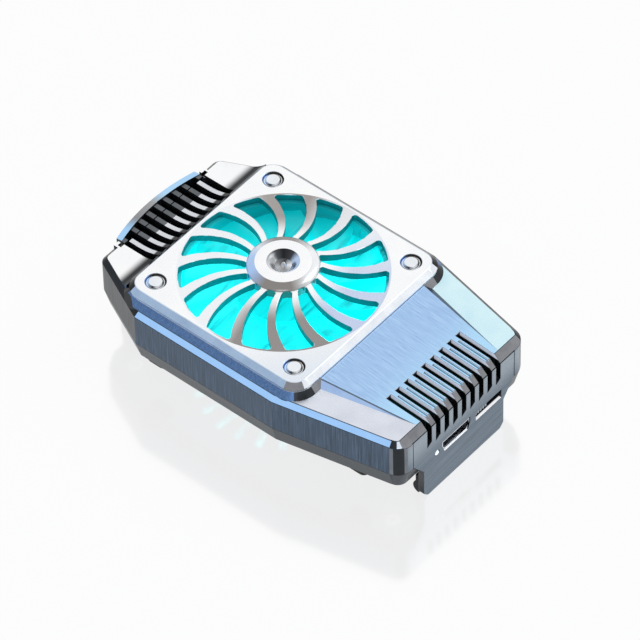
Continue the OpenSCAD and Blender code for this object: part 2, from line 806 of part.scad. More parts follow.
function circle_centre(a, b, c) =
  let (d = 2 * (a.x * (b.y - c.y) + b.x * (c.y - a.y) + c.x * (a.y - b.y)),
    sa = a * a, sb = b * b, sc = c * c)
  [(sa * (b.y - c.y) + sb * (c.y - a.y) + sc * (a.y - b.y)) / d,
   (sa * (c.x - b.x) + sb * (a.x - c.x) + sc * (b.x - a.x)) / d];

// A vane's edge passes through three points, side being -1 or 1 for its two edges.
vane_mid_r = (hub_r + window_r) / 2;
function vane_point(r, angle, offset) = [r * cos(angle), r * sin(angle) + offset];
function vane_edge(side) = circle_centre(
  vane_point(hub_r, -vane_lean, side * vane_w_hub / 2),
  vane_point(vane_mid_r, -vane_lean / 2, side * vane_w_mid / 2 - vane_bow),
  vane_point(window_r, 0, side * vane_w_rim / 2));
function vane_edge_r(side) =
  norm(vane_edge(side) - vane_point(window_r, 0, side * vane_w_rim / 2));

vane_in = vane_edge(1);
vane_in_r = vane_edge_r(1);
vane_out = vane_edge(-1);
vane_out_r = vane_edge_r(-1);

// Where two circles cross, on the side of the line between them that side names.
function crossing(c0, r0, c1, r1, side) =
  let (v = c1 - c0, d = norm(v), a = (r0 * r0 - r1 * r1 + d * d) / (2 * d),
    h = sqrt(r0 * r0 - a * a), u = v / d)
  c0 + a * u + side * h * [-u.y, u.x];

// Fills one corner of a window with a fillet of radius r. The corner lies between a
// circle round the axis and a vane's edge; in0 and in1 are -1 where the window is
// inside that circle and 1 where it is outside.
module corner_fill(r0, in0, c1, r1, in1, r) {
  c = crossing([0, 0], r0 + in0 * r, c1, r1 + in1 * r, -1);
  k = crossing([0, 0], r0, c1, r1, -1);
  t0 = c - in0 * r * c / norm(c);
  t1 = c - in1 * r * (c - c1) / norm(c - c1);
  reach = 0.25;
  difference() {
    polygon([c, t0 + reach * (t0 - c) / r, k + reach * (k - c) / norm(k - c), t1 + reach * (t1 - c) / r]);
    translate(c) circle(r = r, $fn = 32);
  }
}

module vane() {
  intersection() {
    difference() {
      translate(vane_out) circle(r = vane_out_r, $fn = 128);
      translate(vane_in) circle(r = vane_in_r, $fn = 128);
    }
    translate([0.85 * hub_r, -4 * vane_bow]) square([window_r - 0.8 * hub_r, 5.6 * vane_bow]);
  }
}

module vane_pattern() {
  pitch = 360 / vane_count;
  for (i = [0 : vane_count - 1]) rotate(vane_phase + i * pitch) {
    vane();
    corner_fill(window_r, -1, vane_in, vane_in_r, -1, rim_fillet);
    corner_fill(window_r, -1, vane_out, vane_out_r, 1, rim_fillet);
    corner_fill(hub_r, 1, vane_in, vane_in_r, -1, hub_fillet);
    corner_fill(hub_r, 1, vane_out, vane_out_r, 1, hub_fillet);
  }
  circle(r = hub_r, $fn = 96);
}

module vanes() {
  reach = window_r + 0.25;
  top = plate_z1 + dome_rise;
  intersection() {
    translate([0, 0, plate_z0 - over]) linear_extrude(plate_t + dome_rise + 2 * over) vane_pattern();
    rotate_extrude($fn = 128) polygon([[0, top - vane_t], [hub_r, top - vane_t],
      [window_r, plate_z1 - vane_t + 0.2], [reach, plate_z1 - vane_t + 0.2], [reach, plate_z1],
      [window_r, plate_z1], [hub_r, top], [0, top]]);
  }
}

// The hub rises in a quarter round to a flat ring, sinks in a smooth bowl and ends in a knob.
function swell(u) = (1 - cos(180 * u)) / 2;
hub_profile = let (z = plate_z1 + dome_rise, top = z + hub_ring_h, floor = top - dimple_d) concat(
  [[0, z - slice], [hub_r, z - slice]],
  [for (i = [0 : 5]) [hub_r - hub_band * (1 - cos(18 * i)), z + hub_ring_h * sin(18 * i)]],
  [for (i = [0 : 8]) [dimple_r + (peak_r - dimple_r) * i / 8, top - dimple_d * swell(i / 8)]],
  [for (i = [1 : 4]) [peak_r * (1 - i / 4), floor + peak_h * swell(i / 4)]]);

module grille_hub() {
  rotate_extrude($fn = 96) polygon(hub_profile);
}

module plate_blank() {
  round_square(plate_out, plate_r + plate_bevel, plate_z0, plate_z1 - plate_bevel);
  hull() {
    round_square(plate_out, plate_r + plate_bevel, plate_z1 - plate_bevel - slice, plate_z1 - plate_bevel);
    round_square(plate_half, plate_r, plate_z1 - slice, plate_z1);
  }
}

module grille_plate() color([0.86, 0.88, 0.9]) {
  difference() {
    plate_blank();
    drum(window_r, plate_z0 - over, plate_z1 + over, $fn = 128);
    four_corners(pin_xy) {
      drum(pin_r + 0.15, plate_z0 - over, plate_z1 + over);
      drum(pin_ring_r, plate_z1 - 0.9, plate_z1 + over);
    }
  }
  vanes();
  grille_hub();
}

module grille_pins() color([0.8, 0.82, 0.84]) four_corners(pin_xy) {
  drum(pin_head_r, plate_z1 - 0.35, plate_z1);
  drum(pin_ring_r - 0.05, plate_z1 - 0.9, plate_z1 - 0.3);
  drum(pin_r, fan_z0 + 0.1, plate_z1 - 0.85);
  drum(pin_r - 0.1, floor_t + 0.5, fan_z0 + 0.2);
}

/* Light ring */

module light_board() color([0.92, 0.93, 0.9]) difference() {
  round_square(plate_out - housing_t - fit_gap, plate_r, light_z0, light_z1);
  drum(light_board_r, light_z0 - over, light_z1 + over, $fn = 128);
  four_corners(pin_xy) drum(pin_r + 0.2, light_z0 - over, light_z1 + over);
}

module lights() color([0.2, 1, 1])
  for (i = [0 : 3], side = [-1, 1]) rotate(i * 90 + 45 + side * 13)
    translate([light_r, 0, light_z0 - light_h / 2]) cube([0.9, 1.6, light_h], center = true);

/* Fan */

module fan_frame() color([0.3, 0.85, 0.9]) difference() {
  union() {
    difference() {
      round_square(fan_size / 2, fan_r, fan_z0, fan_z1);
      drum(fan_bore / 2, fan_z0 - over, fan_z1 + over, $fn = 128);
    }
    drum(motor_r, fan_z0, seat_z1);
    for (i = [0 : 3]) rotate(i * 90)
      span(motor_r - 0.5, fan_bore / 2 + 0.3, -strut_w / 2, strut_w / 2, fan_z0, seat_z1);
    drum(tube_r, fan_z0, seat_z1 + sleeve_l);
  }
  drum(sleeve_r, seat_z1, seat_z1 + sleeve_l + over);
  drum(sleeve_r - 0.4, fan_z0 - over, seat_z1 + over);
  four_corners(pin_xy) drum(fan_hole / 2, fan_z0 - over, fan_z1 + over);
}

module bearing_sleeve() color([0.8, 0.6, 0.25])
  ring(shaft_r + shaft_fit, sleeve_r, seat_z1, seat_z1 + sleeve_l);

module motor_board() color([0.1, 0.4, 0.2])
  ring(tube_r + 0.05, motor_r - 1.2, seat_z1, motor_board_z1);

stator_z = motor_board_z1 + 1.1;
stator_r = magnet_r0 - 0.35;

module stator_core() color([0.5, 0.5, 0.52]) {
  ring(tube_r + 0.02, tube_r + 0.9, stator_z, stator_z + stator_t);
  ring(tube_r + 0.02, tube_r + 0.5, motor_board_z1, stator_z + slice);
  for (i = [0 : pole_count - 1]) rotate(i * 360 / pole_count) {
    span(tube_r + 0.7, stator_r - 0.6, -0.7, 0.7, stator_z, stator_z + stator_t);
    intersection() {
      ring(stator_r - 0.8, stator_r, stator_z, stator_z + stator_t);
      span(0, stator_r, -0.4 * stator_r, 0.4 * stator_r, stator_z, stator_z + stator_t);
    }
  }
}

module stator_coils() color([0.75, 0.4, 0.2])
  for (i = [0 : pole_count - 1]) rotate(i * 360 / pole_count) difference() {
    span(tube_r + 0.95, stator_r - 1.05, -1.25, 1.25, stator_z - 0.55, stator_z + stator_t + 0.55);
    span(tube_r, stator_r, -0.7, 0.7, stator_z, stator_z + stator_t);
  }

/* Rotor */

blade_r0 = rotor_hub_r - rotor_hub_t / 2;
blade_r1 = fan_bore / 2 - tip_gap;
blade_rows = 5;
blade_cols = 5;

// A point of a blade's middle surface: u runs from root to tip, v along the chord.
function blade_point(u, v) =
  let (r = blade_r0 + (blade_r1 - blade_r0) * u,
    a = blade_chord * (v - 0.5) + blade_sweep * u * u,
    z = rotor_z1 - blade_in - blade_fall * v + blade_camber * sin(180 * v))
  [r * cos(a), r * sin(a), z];

function blade_points() = [for (side = [0.5, -0.5], i = [0 : blade_rows], j = [0 : blade_cols])
  blade_point(i / blade_rows, j / blade_cols) + [0, 0, side * blade_t]];

function blade_faces() =
  let (w = blade_cols + 1, n = (blade_rows + 1) * w)
  concat(
    [for (i = [0 : blade_rows - 1], j = [0 : blade_cols - 1], k = [0, 1]) let (a = i * w + j)
      k == 0 ? [a, a + 1, a + w + 1] : [a, a + w + 1, a + w]],
    [for (i = [0 : blade_rows - 1], j = [0 : blade_cols - 1], k = [0, 1]) let (a = n + i * w + j)
      k == 0 ? [a, a + w + 1, a + 1] : [a, a + w, a + w + 1]],
    [for (i = [0 : blade_rows - 1], k = [0 : 3]) let (a = i * w, b = a + blade_cols)
      k == 0 ? [a, a + w, n + a + w] : k == 1 ? [a, n + a + w, n + a] :
      k == 2 ? [b, n + b, n + b + w] : [b, n + b + w, b + w]],
    [for (j = [0 : blade_cols - 1], k = [0 : 3]) let (a = j, b = blade_rows * w + j)
      k == 0 ? [a, n + a, n + a + 1] : k == 1 ? [a, n + a + 1, a + 1] :
      k == 2 ? [b, b + 1, n + b + 1] : [b, n + b + 1, n + b]]);

module fan_rotor() color([0.1, 0.95, 0.95]) {
  difference() {
    drum(rotor_hub_r, rotor_z0, rotor_z1, $fn = 96);
    drum(rotor_hub_r - rotor_hub_t, rotor_z0 - over, rotor_z1 - cup_t);
    drum(shaft_r, rotor_z0, rotor_z1 - 0.4);
  }
  for (i = [0 : blade_count - 1]) rotate(i * 360 / blade_count)
    polyhedron(points = blade_points(), faces = blade_faces());
}

module rotor_yoke() color([0.6, 0.6, 0.62])
  ring(magnet_r1, magnet_r1 + yoke_t, rotor_z1 - cup_t - magnet_h, rotor_z1 - cup_t);

module rotor_magnet() color([0.25, 0.25, 0.27])
  ring(magnet_r0, magnet_r1, rotor_z1 - cup_t - magnet_h, rotor_z1 - cup_t);

clip_z = seat_z1 - 0.45;

module rotor_shaft() color([0.75, 0.76, 0.78]) difference() {
  drum(shaft_r, clip_z - 0.3, rotor_z1 - 0.4);
  ring(shaft_r - 0.15, shaft_r + over, clip_z - 0.02, clip_z + 0.27);
}

module shaft_clip() color([0.3, 0.3, 0.32])
  ring(shaft_r - 0.13, sleeve_r - 0.6, clip_z, clip_z + 0.25);

/* Board and ports */

module circuit_board() color([0.1, 0.35, 0.2])
  span(board_x0, board_x1, -board_hw, board_hw, board_z, board_z + board_t);

module board_parts() color([0.15, 0.15, 0.17]) {
  top = board_z + board_t;
  span(board_x0 + chip_l, board_x0 + 2 * chip_l, -1.5 * chip_l, -chip_l / 2, top, top + chip_h);
  translate([board_x0 + 1.5 * chip_l, 2 * cap_r, 0]) drum(cap_r, top, top + cap_h);
  span(board_x0 + fit_gap, board_x0 + plug_l / 2, -plug_l / 2, plug_l / 2, top, top + cap_h);
}

module usb_socket() color([0.75, 0.76, 0.78]) {
  x0 = port_x - usb_l;
  translate([0, usb_y, port_z]) {
    difference() {
      extrude_x(x0, port_x - fit_gap) usb_profile(0);
      extrude_x(x0 + 0.6, port_x + over) usb_profile(-usb_wall);
    }
    span(x0 + 0.5, port_x - 1, -usb_w / 2 + 1.6, usb_w / 2 - 1.6, 0.1, 0.7);
  }
}

module switch_body() color([0.15, 0.15, 0.17]) difference() {
  span(board_x1 - switch_d, board_x1, switch_y - switch_w / 2 - 0.4, switch_y + switch_w / 2 + 0.3,
    port_z - switch_h / 2 - 0.1, board_z);
  span(board_x1 - switch_d + 0.6, board_x1 + over, switch_y - switch_w / 2, switch_y + switch_w / 2,
    port_z - switch_h / 2 + 0.2, port_z + switch_h / 2 - 0.2);
}

module switch_knob() color([0.5, 0.55, 0.6]) translate([0, switch_y - switch_w / 2 + 0.1, port_z])
  span(board_x1 - switch_d + 0.8, port_x - fit_gap, 0, knob_w, -switch_h / 2 + 0.25, switch_h / 2 - 0.25);

module charge_light() color([0.8, 0.9, 1]) {
  translate([0, lamp_y, port_z]) {
    translate([board_x1 - 0.1, 0, 0]) rotate([0, 90, 0]) cylinder(r = lamp_r, h = port_x - board_x1);
    span(board_x1 - 1.6, board_x1 - 0.1, -0.8, 0.8, -0.7, board_z - port_z);
  }
}

/* Sliding jaw */

jaw_arc_r = (jaw_hw * jaw_hw + jaw_bow * jaw_bow) / (2 * jaw_bow);

module jaw_wall_shape() {
  difference() {
    intersection() {
      translate([jaw_x + jaw_arc_r, 0]) circle(r = jaw_arc_r, $fn = 256);
      translate([jaw_x - over, -jaw_hw]) square([jaw_bow + jaw_t + 2 * over, 2 * jaw_hw]);
    }
    translate([jaw_x + jaw_arc_r, 0]) circle(r = jaw_arc_r - jaw_t, $fn = 256);
  }
}

module jaw_wall() {
  intersection() {
    translate([0, 0, -jaw_drop]) linear_extrude(deck_z + jaw_drop) jaw_wall_shape();
    translate([jaw_x + jaw_arc_r, 0, 0]) rotate_extrude($fn = 256)
      polygon([[jaw_arc_r - 2 * jaw_t, -jaw_drop - over], [jaw_arc_r + over, -jaw_drop - over],
        [jaw_arc_r + over, deck_z - jaw_fall * (1 + over / jaw_t)], [jaw_arc_r - jaw_t, deck_z],
        [jaw_arc_r - 2 * jaw_t, deck_z]]);
    extrude_x(jaw_x - over, fin_x) both_ways() polygon([[-slice, deck_z], [jaw_neck_hw, deck_z],
      [jaw_neck_hw, -0.4], [jaw_hw, -0.4], [jaw_hw, -jaw_drop + jaw_corner],
      [jaw_hw - jaw_corner, -jaw_drop], [-slice, -jaw_drop]]);
  }
}

// The space behind the jaw's bowed wall, so that what is added there meets it.
module behind_jaw_wall(hw, x1, z0, z1) {
  difference() {
    span(jaw_x, x1, -hw, hw, z0, z1);
    translate([0, 0, z0 - over]) linear_extrude(z1 - z0 + 2 * over) difference() {
      translate([jaw_x - over, -hw - over]) square([jaw_bow + jaw_t + over, 2 * hw + 2 * over]);
      translate([jaw_x + jaw_arc_r, 0]) circle(r = jaw_arc_r - jaw_t + slice, $fn = 256);
    }
  }
}

module sliding_jaw() color([0.62, 0.72, 0.82]) {
  foot_z = web_z0 + 0.2;
  jaw_wall();
  behind_jaw_wall(jaw_neck_hw, jaw_end_x, foot_z, foot_z + web_t);
  difference() {
    behind_jaw_wall(jaw_neck_hw, jaw_end_x, foot_z, deck_z - 0.15);
    span(jaw_x, fin_x, -jaw_neck_hw + 1, jaw_neck_hw - 1, foot_z - over, deck_z + over);
  }
  for (i = [-3 : 3]) intersection() {
    behind_jaw_wall(jaw_neck_hw, jaw_end_x, foot_z, fin_z);
    span(jaw_x, fin_x, i * fin_pitch - fin_t / 2, i * fin_pitch + fin_t / 2, foot_z, fin_z);
  }
  difference() {
    behind_jaw_wall(tongue_hw, tongue_x1, tongue_z0, tongue_z1);
    both_sides() span(jaw_end_x + tongue_end, tongue_x1 - tongue_end, tongue_bar, tongue_bar + tongue_slot_w,
      tongue_z0 - over, tongue_z1 + over);
  }
  span(jaw_x + jaw_bow + jaw_t, jaw_end_x, -tongue_hw, tongue_hw, tongue_z0, foot_z + slice);
  both_sides() span(ear_x - ear_l / 2, ear_x + ear_l / 2, tongue_hw - slice, ear_y1,
    floor_t + rail_h + slide_gap, tongue_z1);
}

module sliding_jaw_grip() color([0.12, 0.13, 0.15]) {
  flat_x = jaw_x + jaw_bow + jaw_t;
  hw = jaw_hw - jaw_corner;
  translate([flat_x - grip_t, 0, 0]) difference() {
    union() {
      grip_strip(hw);
      span(-jaw_bow, slice, -hw, hw, -jaw_drop + 0.7, -grip_drop);
    }
    translate([grip_t - flat_x, 0, -jaw_drop - over]) linear_extrude(jaw_drop + 2 * over) difference() {
      translate([jaw_x - over, -hw - over]) square([jaw_bow + jaw_t + over, 2 * hw + 2 * over]);
      translate([jaw_x + jaw_arc_r, 0]) circle(r = jaw_arc_r - jaw_t - 2 * slice, $fn = 256);
    }
  }
}

module contact_pads() color([0.12, 0.13, 0.15]) pad_places() pad_shape(-pad_t, pad_seat);

/* Springs */

spring_x0 = ear_x + ear_l / 2;
spring_len = anchor_x - spring_x0;
spring_lead = 0.6;
spring_coil_r = spring_r - spring_wire / 2;
rings_a_turn = 8;
ring_sides = 6;
spring_steps = spring_turns * rings_a_turn;
spring_pitch = (spring_len - 2 * spring_lead) / spring_turns;

// The wire leaves its ear on the axis, opens to the coil in one turn and closes again.
function coil_opening(t) =
  min(1, t / rings_a_turn, (spring_steps - t) / rings_a_turn);
function wire_point(t) =
  let (a = 360 * t / rings_a_turn, r = spring_coil_r * max(0, coil_opening(t)))
  [spring_lead + spring_pitch * t / rings_a_turn, r * sin(a), r * cos(a)];
function unit(v) = v / norm(v);
function wire_ring(t) =
  let (p = wire_point(t), along = unit(wire_point(t + 0.05) - wire_point(t - 0.05)),
    a = 360 * t / rings_a_turn, out0 = [0, sin(a), cos(a)],
    out = unit(out0 - (out0 * along) * along), side = cross(along, out))
  [for (k = [0 : ring_sides - 1]) let (b = 360 * k / ring_sides)
    p + spring_wire / 2 * (cos(b) * out + sin(b) * side)];
function end_ring(x) = [for (k = [0 : ring_sides - 1]) let (b = 360 * k / ring_sides)
  [x, -spring_wire / 2 * sin(b), spring_wire / 2 * cos(b)]];
spring_rings = concat([end_ring(0)], [for (t = [0 : spring_steps]) wire_ring(t)],
  [end_ring(spring_len)]);
spring_faces = let (n = len(spring_rings), s = ring_sides) concat(
  [[for (k = [0 : s - 1]) k]],
  [for (i = [0 : n - 2], k = [0 : s - 1], h = [0, 1]) let (a = i * s + k, b = i * s + (k + 1) % s)
    h == 0 ? [a, a + s, b + s] : [a, b + s, b]],
  [[for (k = [s - 1 : -1 : 0]) (n - 1) * s + k]]);

// Least gap from one turn to the next, measured on points a turn apart.
spring_gap = min([for (t = [rings_a_turn : spring_steps - 2 * rings_a_turn], k = [-2 : 2])
  norm(wire_point(t) - wire_point(t + rings_a_turn + k))]) - spring_wire;
echo(least_gap_between_spring_turns = spring_gap);

module spring() translate([spring_x0, spring_y, spring_z])
  polyhedron(points = [for (r = spring_rings) each r], faces = spring_faces, convexity = 8);

module left_spring() color([0.75, 0.76, 0.78]) spring();
module right_spring() color([0.75, 0.76, 0.78]) mirror([0, 1, 0]) spring();

/* Fasteners */

module cover_screws() color([0.6, 0.61, 0.63]) boss_places() {
  drum(screw_head_r, floor_t - screw_head_h - 0.1, floor_t);
  drum(screw_r - 0.05, floor_t - slice, floor_t + screw_l);
}

upper_shell();
lower_cover();
end_plate();
grille_plate();
grille_pins();
light_board();
lights();
fan_frame();
fan_rotor();
rotor_yoke();
rotor_magnet();
rotor_shaft();
shaft_clip();
bearing_sleeve();
stator_core();
stator_coils();
motor_board();
circuit_board();
board_parts();
usb_socket();
switch_body();
switch_knob();
charge_light();
sliding_jaw();
fixed_jaw_grip();
sliding_jaw_grip();
contact_pads();
left_spring();
right_spring();
cover_screws();
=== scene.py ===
"""Looks of a clip-on phone cooling fan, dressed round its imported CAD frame."""

import logging
import math
from collections.abc import Callable, Sequence
from dataclasses import dataclass
from enum import Enum
from functools import cache
from typing import Protocol

import bmesh
import bpy
from mathutils import Matrix, Vector


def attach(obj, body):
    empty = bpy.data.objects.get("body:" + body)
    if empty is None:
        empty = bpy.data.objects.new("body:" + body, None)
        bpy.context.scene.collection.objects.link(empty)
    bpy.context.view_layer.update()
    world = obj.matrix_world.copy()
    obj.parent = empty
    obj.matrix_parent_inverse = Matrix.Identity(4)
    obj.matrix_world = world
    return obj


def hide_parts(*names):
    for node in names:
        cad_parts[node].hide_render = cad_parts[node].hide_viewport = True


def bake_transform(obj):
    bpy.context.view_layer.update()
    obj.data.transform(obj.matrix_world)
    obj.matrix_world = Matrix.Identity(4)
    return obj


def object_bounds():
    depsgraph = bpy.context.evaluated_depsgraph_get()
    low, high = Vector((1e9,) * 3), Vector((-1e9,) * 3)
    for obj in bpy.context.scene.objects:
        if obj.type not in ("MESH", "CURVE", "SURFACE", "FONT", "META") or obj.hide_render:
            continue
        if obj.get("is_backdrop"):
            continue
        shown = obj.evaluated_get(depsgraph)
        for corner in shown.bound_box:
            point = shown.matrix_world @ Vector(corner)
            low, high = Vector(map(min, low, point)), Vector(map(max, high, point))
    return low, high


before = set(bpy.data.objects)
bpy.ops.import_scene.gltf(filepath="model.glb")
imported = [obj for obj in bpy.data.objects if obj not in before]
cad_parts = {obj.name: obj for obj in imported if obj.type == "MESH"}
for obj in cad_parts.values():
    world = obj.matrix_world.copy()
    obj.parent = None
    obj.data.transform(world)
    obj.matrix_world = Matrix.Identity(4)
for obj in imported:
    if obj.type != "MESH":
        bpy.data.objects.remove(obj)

log = logging.getLogger("cooling_fan")

MM = 0.001
Colour = tuple[float, float, float, float]
Spots = tuple[float, float, float]
Stops = tuple[tuple[float, str], ...]


class Finish(Protocol):
    """What every finish has: a name, and a way to build its material."""

    @property
    def name(self) -> str:
        """Returns the material's name."""
        ...

    def make(self) -> bpy.types.Material:
        """Returns the material, newly built."""
        ...


FaceTest = Callable[[Vector, Vector, bool], Finish]


# Small helpers


def linear(code: str) -> Colour:
    """Turns an sRGB hex colour into linear RGBA.

    Args:
        code: the colour, as # and six hex digits.

    Returns:
        The same colour in linear light, opaque.
    """
    values = [int(code[i : i + 2], 16) / 255 for i in (1, 3, 5)]
    r, g, b = (v / 12.92 if v <= 0.04045 else ((v + 0.055) / 1.055) ** 2.4 for v in values)
    return (r, g, b, 1.0)


def add(
    tree: bpy.types.NodeTree,
    kind: str,
    settings: dict[str, object] | None = None,
    inputs: dict[int | str, object] | None = None,
) -> bpy.types.Node:
    """Adds one node with its settings and its input values or links.

    Args:
        tree: the tree that gets the node.
        kind: the node's Blender type.
        settings: values of the node's own properties.
        inputs: input name or number to a value, or to the socket that feeds it.

    Returns:
        The new node.
    """
    node = tree.nodes.new(kind)
    for key, value in (settings or {}).items():
        setattr(node, key, value)
    for key, value in (inputs or {}).items():
        if isinstance(value, bpy.types.NodeSocket):
            tree.links.new(value, node.inputs[key])
        else:
            node.inputs[key].default_value = value
    return node


def blank_material(name: str) -> tuple[bpy.types.Material, bpy.types.NodeTree]:
    """Makes a material with an empty node tree.

    Args:
        name: the material's name.

    Returns:
        The material and its tree.
    """
    material = bpy.data.materials.new(name)
    material.use_nodes = True
    material.node_tree.nodes.clear()
    return material, material.node_tree


def grain(
    tree: bpy.types.NodeTree, spacing_mm: Sequence[float], detail: float = 2.0, rough: float = 0.6
) -> bpy.types.NodeSocket:
    """Adds a noise whose spots have the given size along X, Y and Z.

    Args:
        tree: the material's tree.
        spacing_mm: size of a spot along each axis, in millimetres.
        detail: how many finer layers of noise lie on the first.
        rough: how strong those layers are.

    Returns:
        The noise's factor, about 0.5 in the middle.
    """
    place = add(tree, "ShaderNodeTexCoord")
    scaled = add(
        tree,
        "ShaderNodeMapping",
        inputs={"Vector": place.outputs["Object"], "Scale": tuple(1000 / s for s in spacing_mm)},
    )
    noise = add(
        tree,
        "ShaderNodeTexNoise",
        inputs={
            "Vector": scaled.outputs["Vector"],
            "Scale": 1.0,
            "Detail": detail,
            "Roughness": rough,
        },
    )
    return noise.outputs["Factor"] if "Factor" in noise.outputs else noise.outputs["Fac"]


def ramp(
    tree: bpy.types.NodeTree, factor: bpy.types.NodeSocket, stops: Sequence[tuple[float, str]]
) -> bpy.types.NodeSocket:
    """Adds a colour ramp with the given stops.

    Args:
        tree: the material's tree.
        factor: what the ramp reads.
        stops: places from 0 to 1, in order, and the colour at each.

    Returns:
        The ramp's colour.
    """
    node = add(tree, "ShaderNodeValToRGB", inputs={0: factor})
    elements = node.color_ramp.elements
    while len(elements) < len(stops):
        elements.new(0.5)
    for element, (place, code) in zip(elements, stops, strict=True):
        element.position = place
        element.color = linear(code)
    return node.outputs["Color"]


def remap(
    tree: bpy.types.NodeTree, factor: bpy.types.NodeSocket, low: float, high: float
) -> bpy.types.NodeSocket:
    """Spreads a noise, which stays within about 0.3 to 0.7, over low to high.

    Args:
        tree: the material's tree.
        factor: a noise's factor.
        low: the result at its low end.
        high: the result at its high end.

    Returns:
        The spread factor.
    """
    node = add(
        tree,
        "ShaderNodeMapRange",
        inputs={0: factor, 1: 0.3, 2: 0.7, 3: low, 4: high},
    )
    return node.outputs[0]


def mixed(
    tree: bpy.types.NodeTree,
    factor: bpy.types.NodeSocket | float,
    a: bpy.types.NodeSocket | Colour,
    b: bpy.types.NodeSocket | Colour,
) -> bpy.types.NodeSocket:
    """Mixes two colours.

    Args:
        tree: the material's tree.
        factor: the share of the second colour.
        a: the first colour.
        b: the second colour.

    Returns:
        The mixed colour.
    """
    node = add(
        tree,
        "ShaderNodeMix",
        {"data_type": "RGBA", "blend_type": "MIX"},
        {0: factor, 6: a, 7: b},
    )
    return node.outputs[2]


def surface(
    tree: bpy.types.NodeTree,
    inputs: dict[int | str, object],
    height: bpy.types.NodeSocket | None = None,
    depth_mm: float = 0.0,
    strength: float = 1.0,
) -> None:
    """Ends a material in a Principled shader, with a bump where a height is given.

    Args:
        tree: the material's tree.
        inputs: the shader's values and links.
        height: what drives the bump.
        depth_mm: the bump's depth in millimetres.
        strength: the share of that bump that shows.
    """
    if height is not None:
        bump = add(
            tree,
            "ShaderNodeBump",
            inputs={"Strength": strength, "Distance": depth_mm * MM, "Height": height},
        )
        inputs = {**inputs, "Normal": bump.outputs["Normal"]}
    shader = add(tree, "ShaderNodeBsdfPrincipled", inputs=inputs)
    add(tree, "ShaderNodeOutputMaterial", inputs={"Surface": shader.outputs[0]})


@dataclass(frozen=True)
class Fade:
    """A colour that a finish turns into along a direction. Lengths in mm.

    Args:
        code: the colour it turns into.
        along: the direction, of length 1.
        start_mm: where the change starts, measured along that direction.
        end_mm: where it is complete.
    """

    code: str
    along: tuple[float, float, float]
    start_mm: float
    end_mm: float


def faded(
    tree: bpy.types.NodeTree, base: bpy.types.NodeSocket, fade: Fade | None
) -> bpy.types.NodeSocket:
    """Turns the base colour into the fade's colour along its direction.

    Args:
        tree: the material's tree.
        base: the base colour.
        fade: what it turns into and where, or None for no change.

    Returns:
        The resulting colour.
    """
    if fade is None:
        return base
    place = add(tree, "ShaderNodeTexCoord")
    dot = add(
        tree,
        "ShaderNodeVectorMath",
        {"operation": "DOT_PRODUCT"},
        {0: place.outputs["Object"], 1: fade.along},
    )
    share = add(
        tree,
        "ShaderNodeMapRange",
        {"interpolation_type": "SMOOTHSTEP"},
        {0: dot.outputs["Value"], 1: fade.start_mm * MM, 2: fade.end_mm * MM, 3: 0.0, 4: 1.0},
    )
    return mixed(tree, share.outputs[0], base, linear(fade.code))


@dataclass(frozen=True)
class PaintedVaneLight:
    """The painted light and shade on the vanes: tones that change round the axis, a painted
    reflection, lighter on some vanes and darker on others.

    Args:
        stops: share of a full turn, counted from -X, to the tone there.
        inner_mm: radius where the tone sets in.
        full_mm: radius where it is complete.
        rim_mm: radius of the ring that the vanes run into, where it ends.
    """

    stops: Stops
    inner_mm: float = 7.0
    full_mm: float = 13.0
    rim_mm: float = 19.05

    def over(
        self, tree: bpy.types.NodeTree, base: bpy.types.NodeSocket
    ) -> bpy.types.NodeSocket:
        """Lays the vanes' painted light and shade over the base colour.

        Args:
            tree: the material's tree.
            base: the colour below them.

        Returns:
            The resulting colour.
        """
        place = add(tree, "ShaderNodeTexCoord").outputs["Object"]
        flat = add(
            tree,
            "ShaderNodeVectorMath",
            {"operation": "MULTIPLY"},
            {0: place, 1: (1, 1, 0)},
        )
        radius = add(
            tree, "ShaderNodeVectorMath", {"operation": "LENGTH"}, {0: flat.outputs[0]}
        ).outputs["Value"]
        turn = add(tree, "ShaderNodeTexGradient", {"gradient_type": "RADIAL"}, {0: place})
        rise = add(
            tree,
            "ShaderNodeMapRange",
            {"interpolation_type": "SMOOTHSTEP"},
            {0: radius, 1: self.inner_mm * MM, 2: self.full_mm * MM, 3: 0.0, 4: 1.0},
        )
        inside = add(
            tree,
            "ShaderNodeMath",
            {"operation": "LESS_THAN"},
            {0: radius, 1: self.rim_mm * MM},
        )
        share = add(
            tree,
            "ShaderNodeMath",
            {"operation": "MULTIPLY"},
            {0: rise.outputs[0], 1: inside.outputs[0]},
        )
        return mixed(tree, share.outputs[0], base, ramp(tree, turn.outputs[1], self.stops))


# Finishes


class Brush(Enum):
    """Which way a brushed face's lines run, as spot sizes along X, Y and Z in mm.

    Real lines are about 0.05 mm apart. They are drawn coarser, so that they show.
    """

    UPRIGHT = (0.28, 0.28, 9.0)
    ALONG_X = (12.0, 0.25, 0.25)
    ALONG_Y = (0.25, 14.0, 0.22)


class Spot(Enum):
    """Sizes of a pattern's spots along X, Y and Z in mm.

    The dents of blasting beads, a mould's spark texture and ferrite's grit are about 0.05 mm
    wide on the real surface. They are drawn coarser, so that they show.
    """

    BEAD = (0.18, 0.18, 0.18)
    PEBBLE = (0.22, 0.22, 0.22)
    SPARK = (0.15, 0.15, 0.15)
    GRIT = (0.12, 0.12, 0.12)
    TURNING = (0.5, 0.5, 0.5)
    HAZE = (3.0, 3.0, 3.0)
    PATCH = (7.0, 7.0, 7.0)
    CLOUD = (9.0, 9.0, 9.0)
    FLOW = (1.2, 9.0, 5.0)


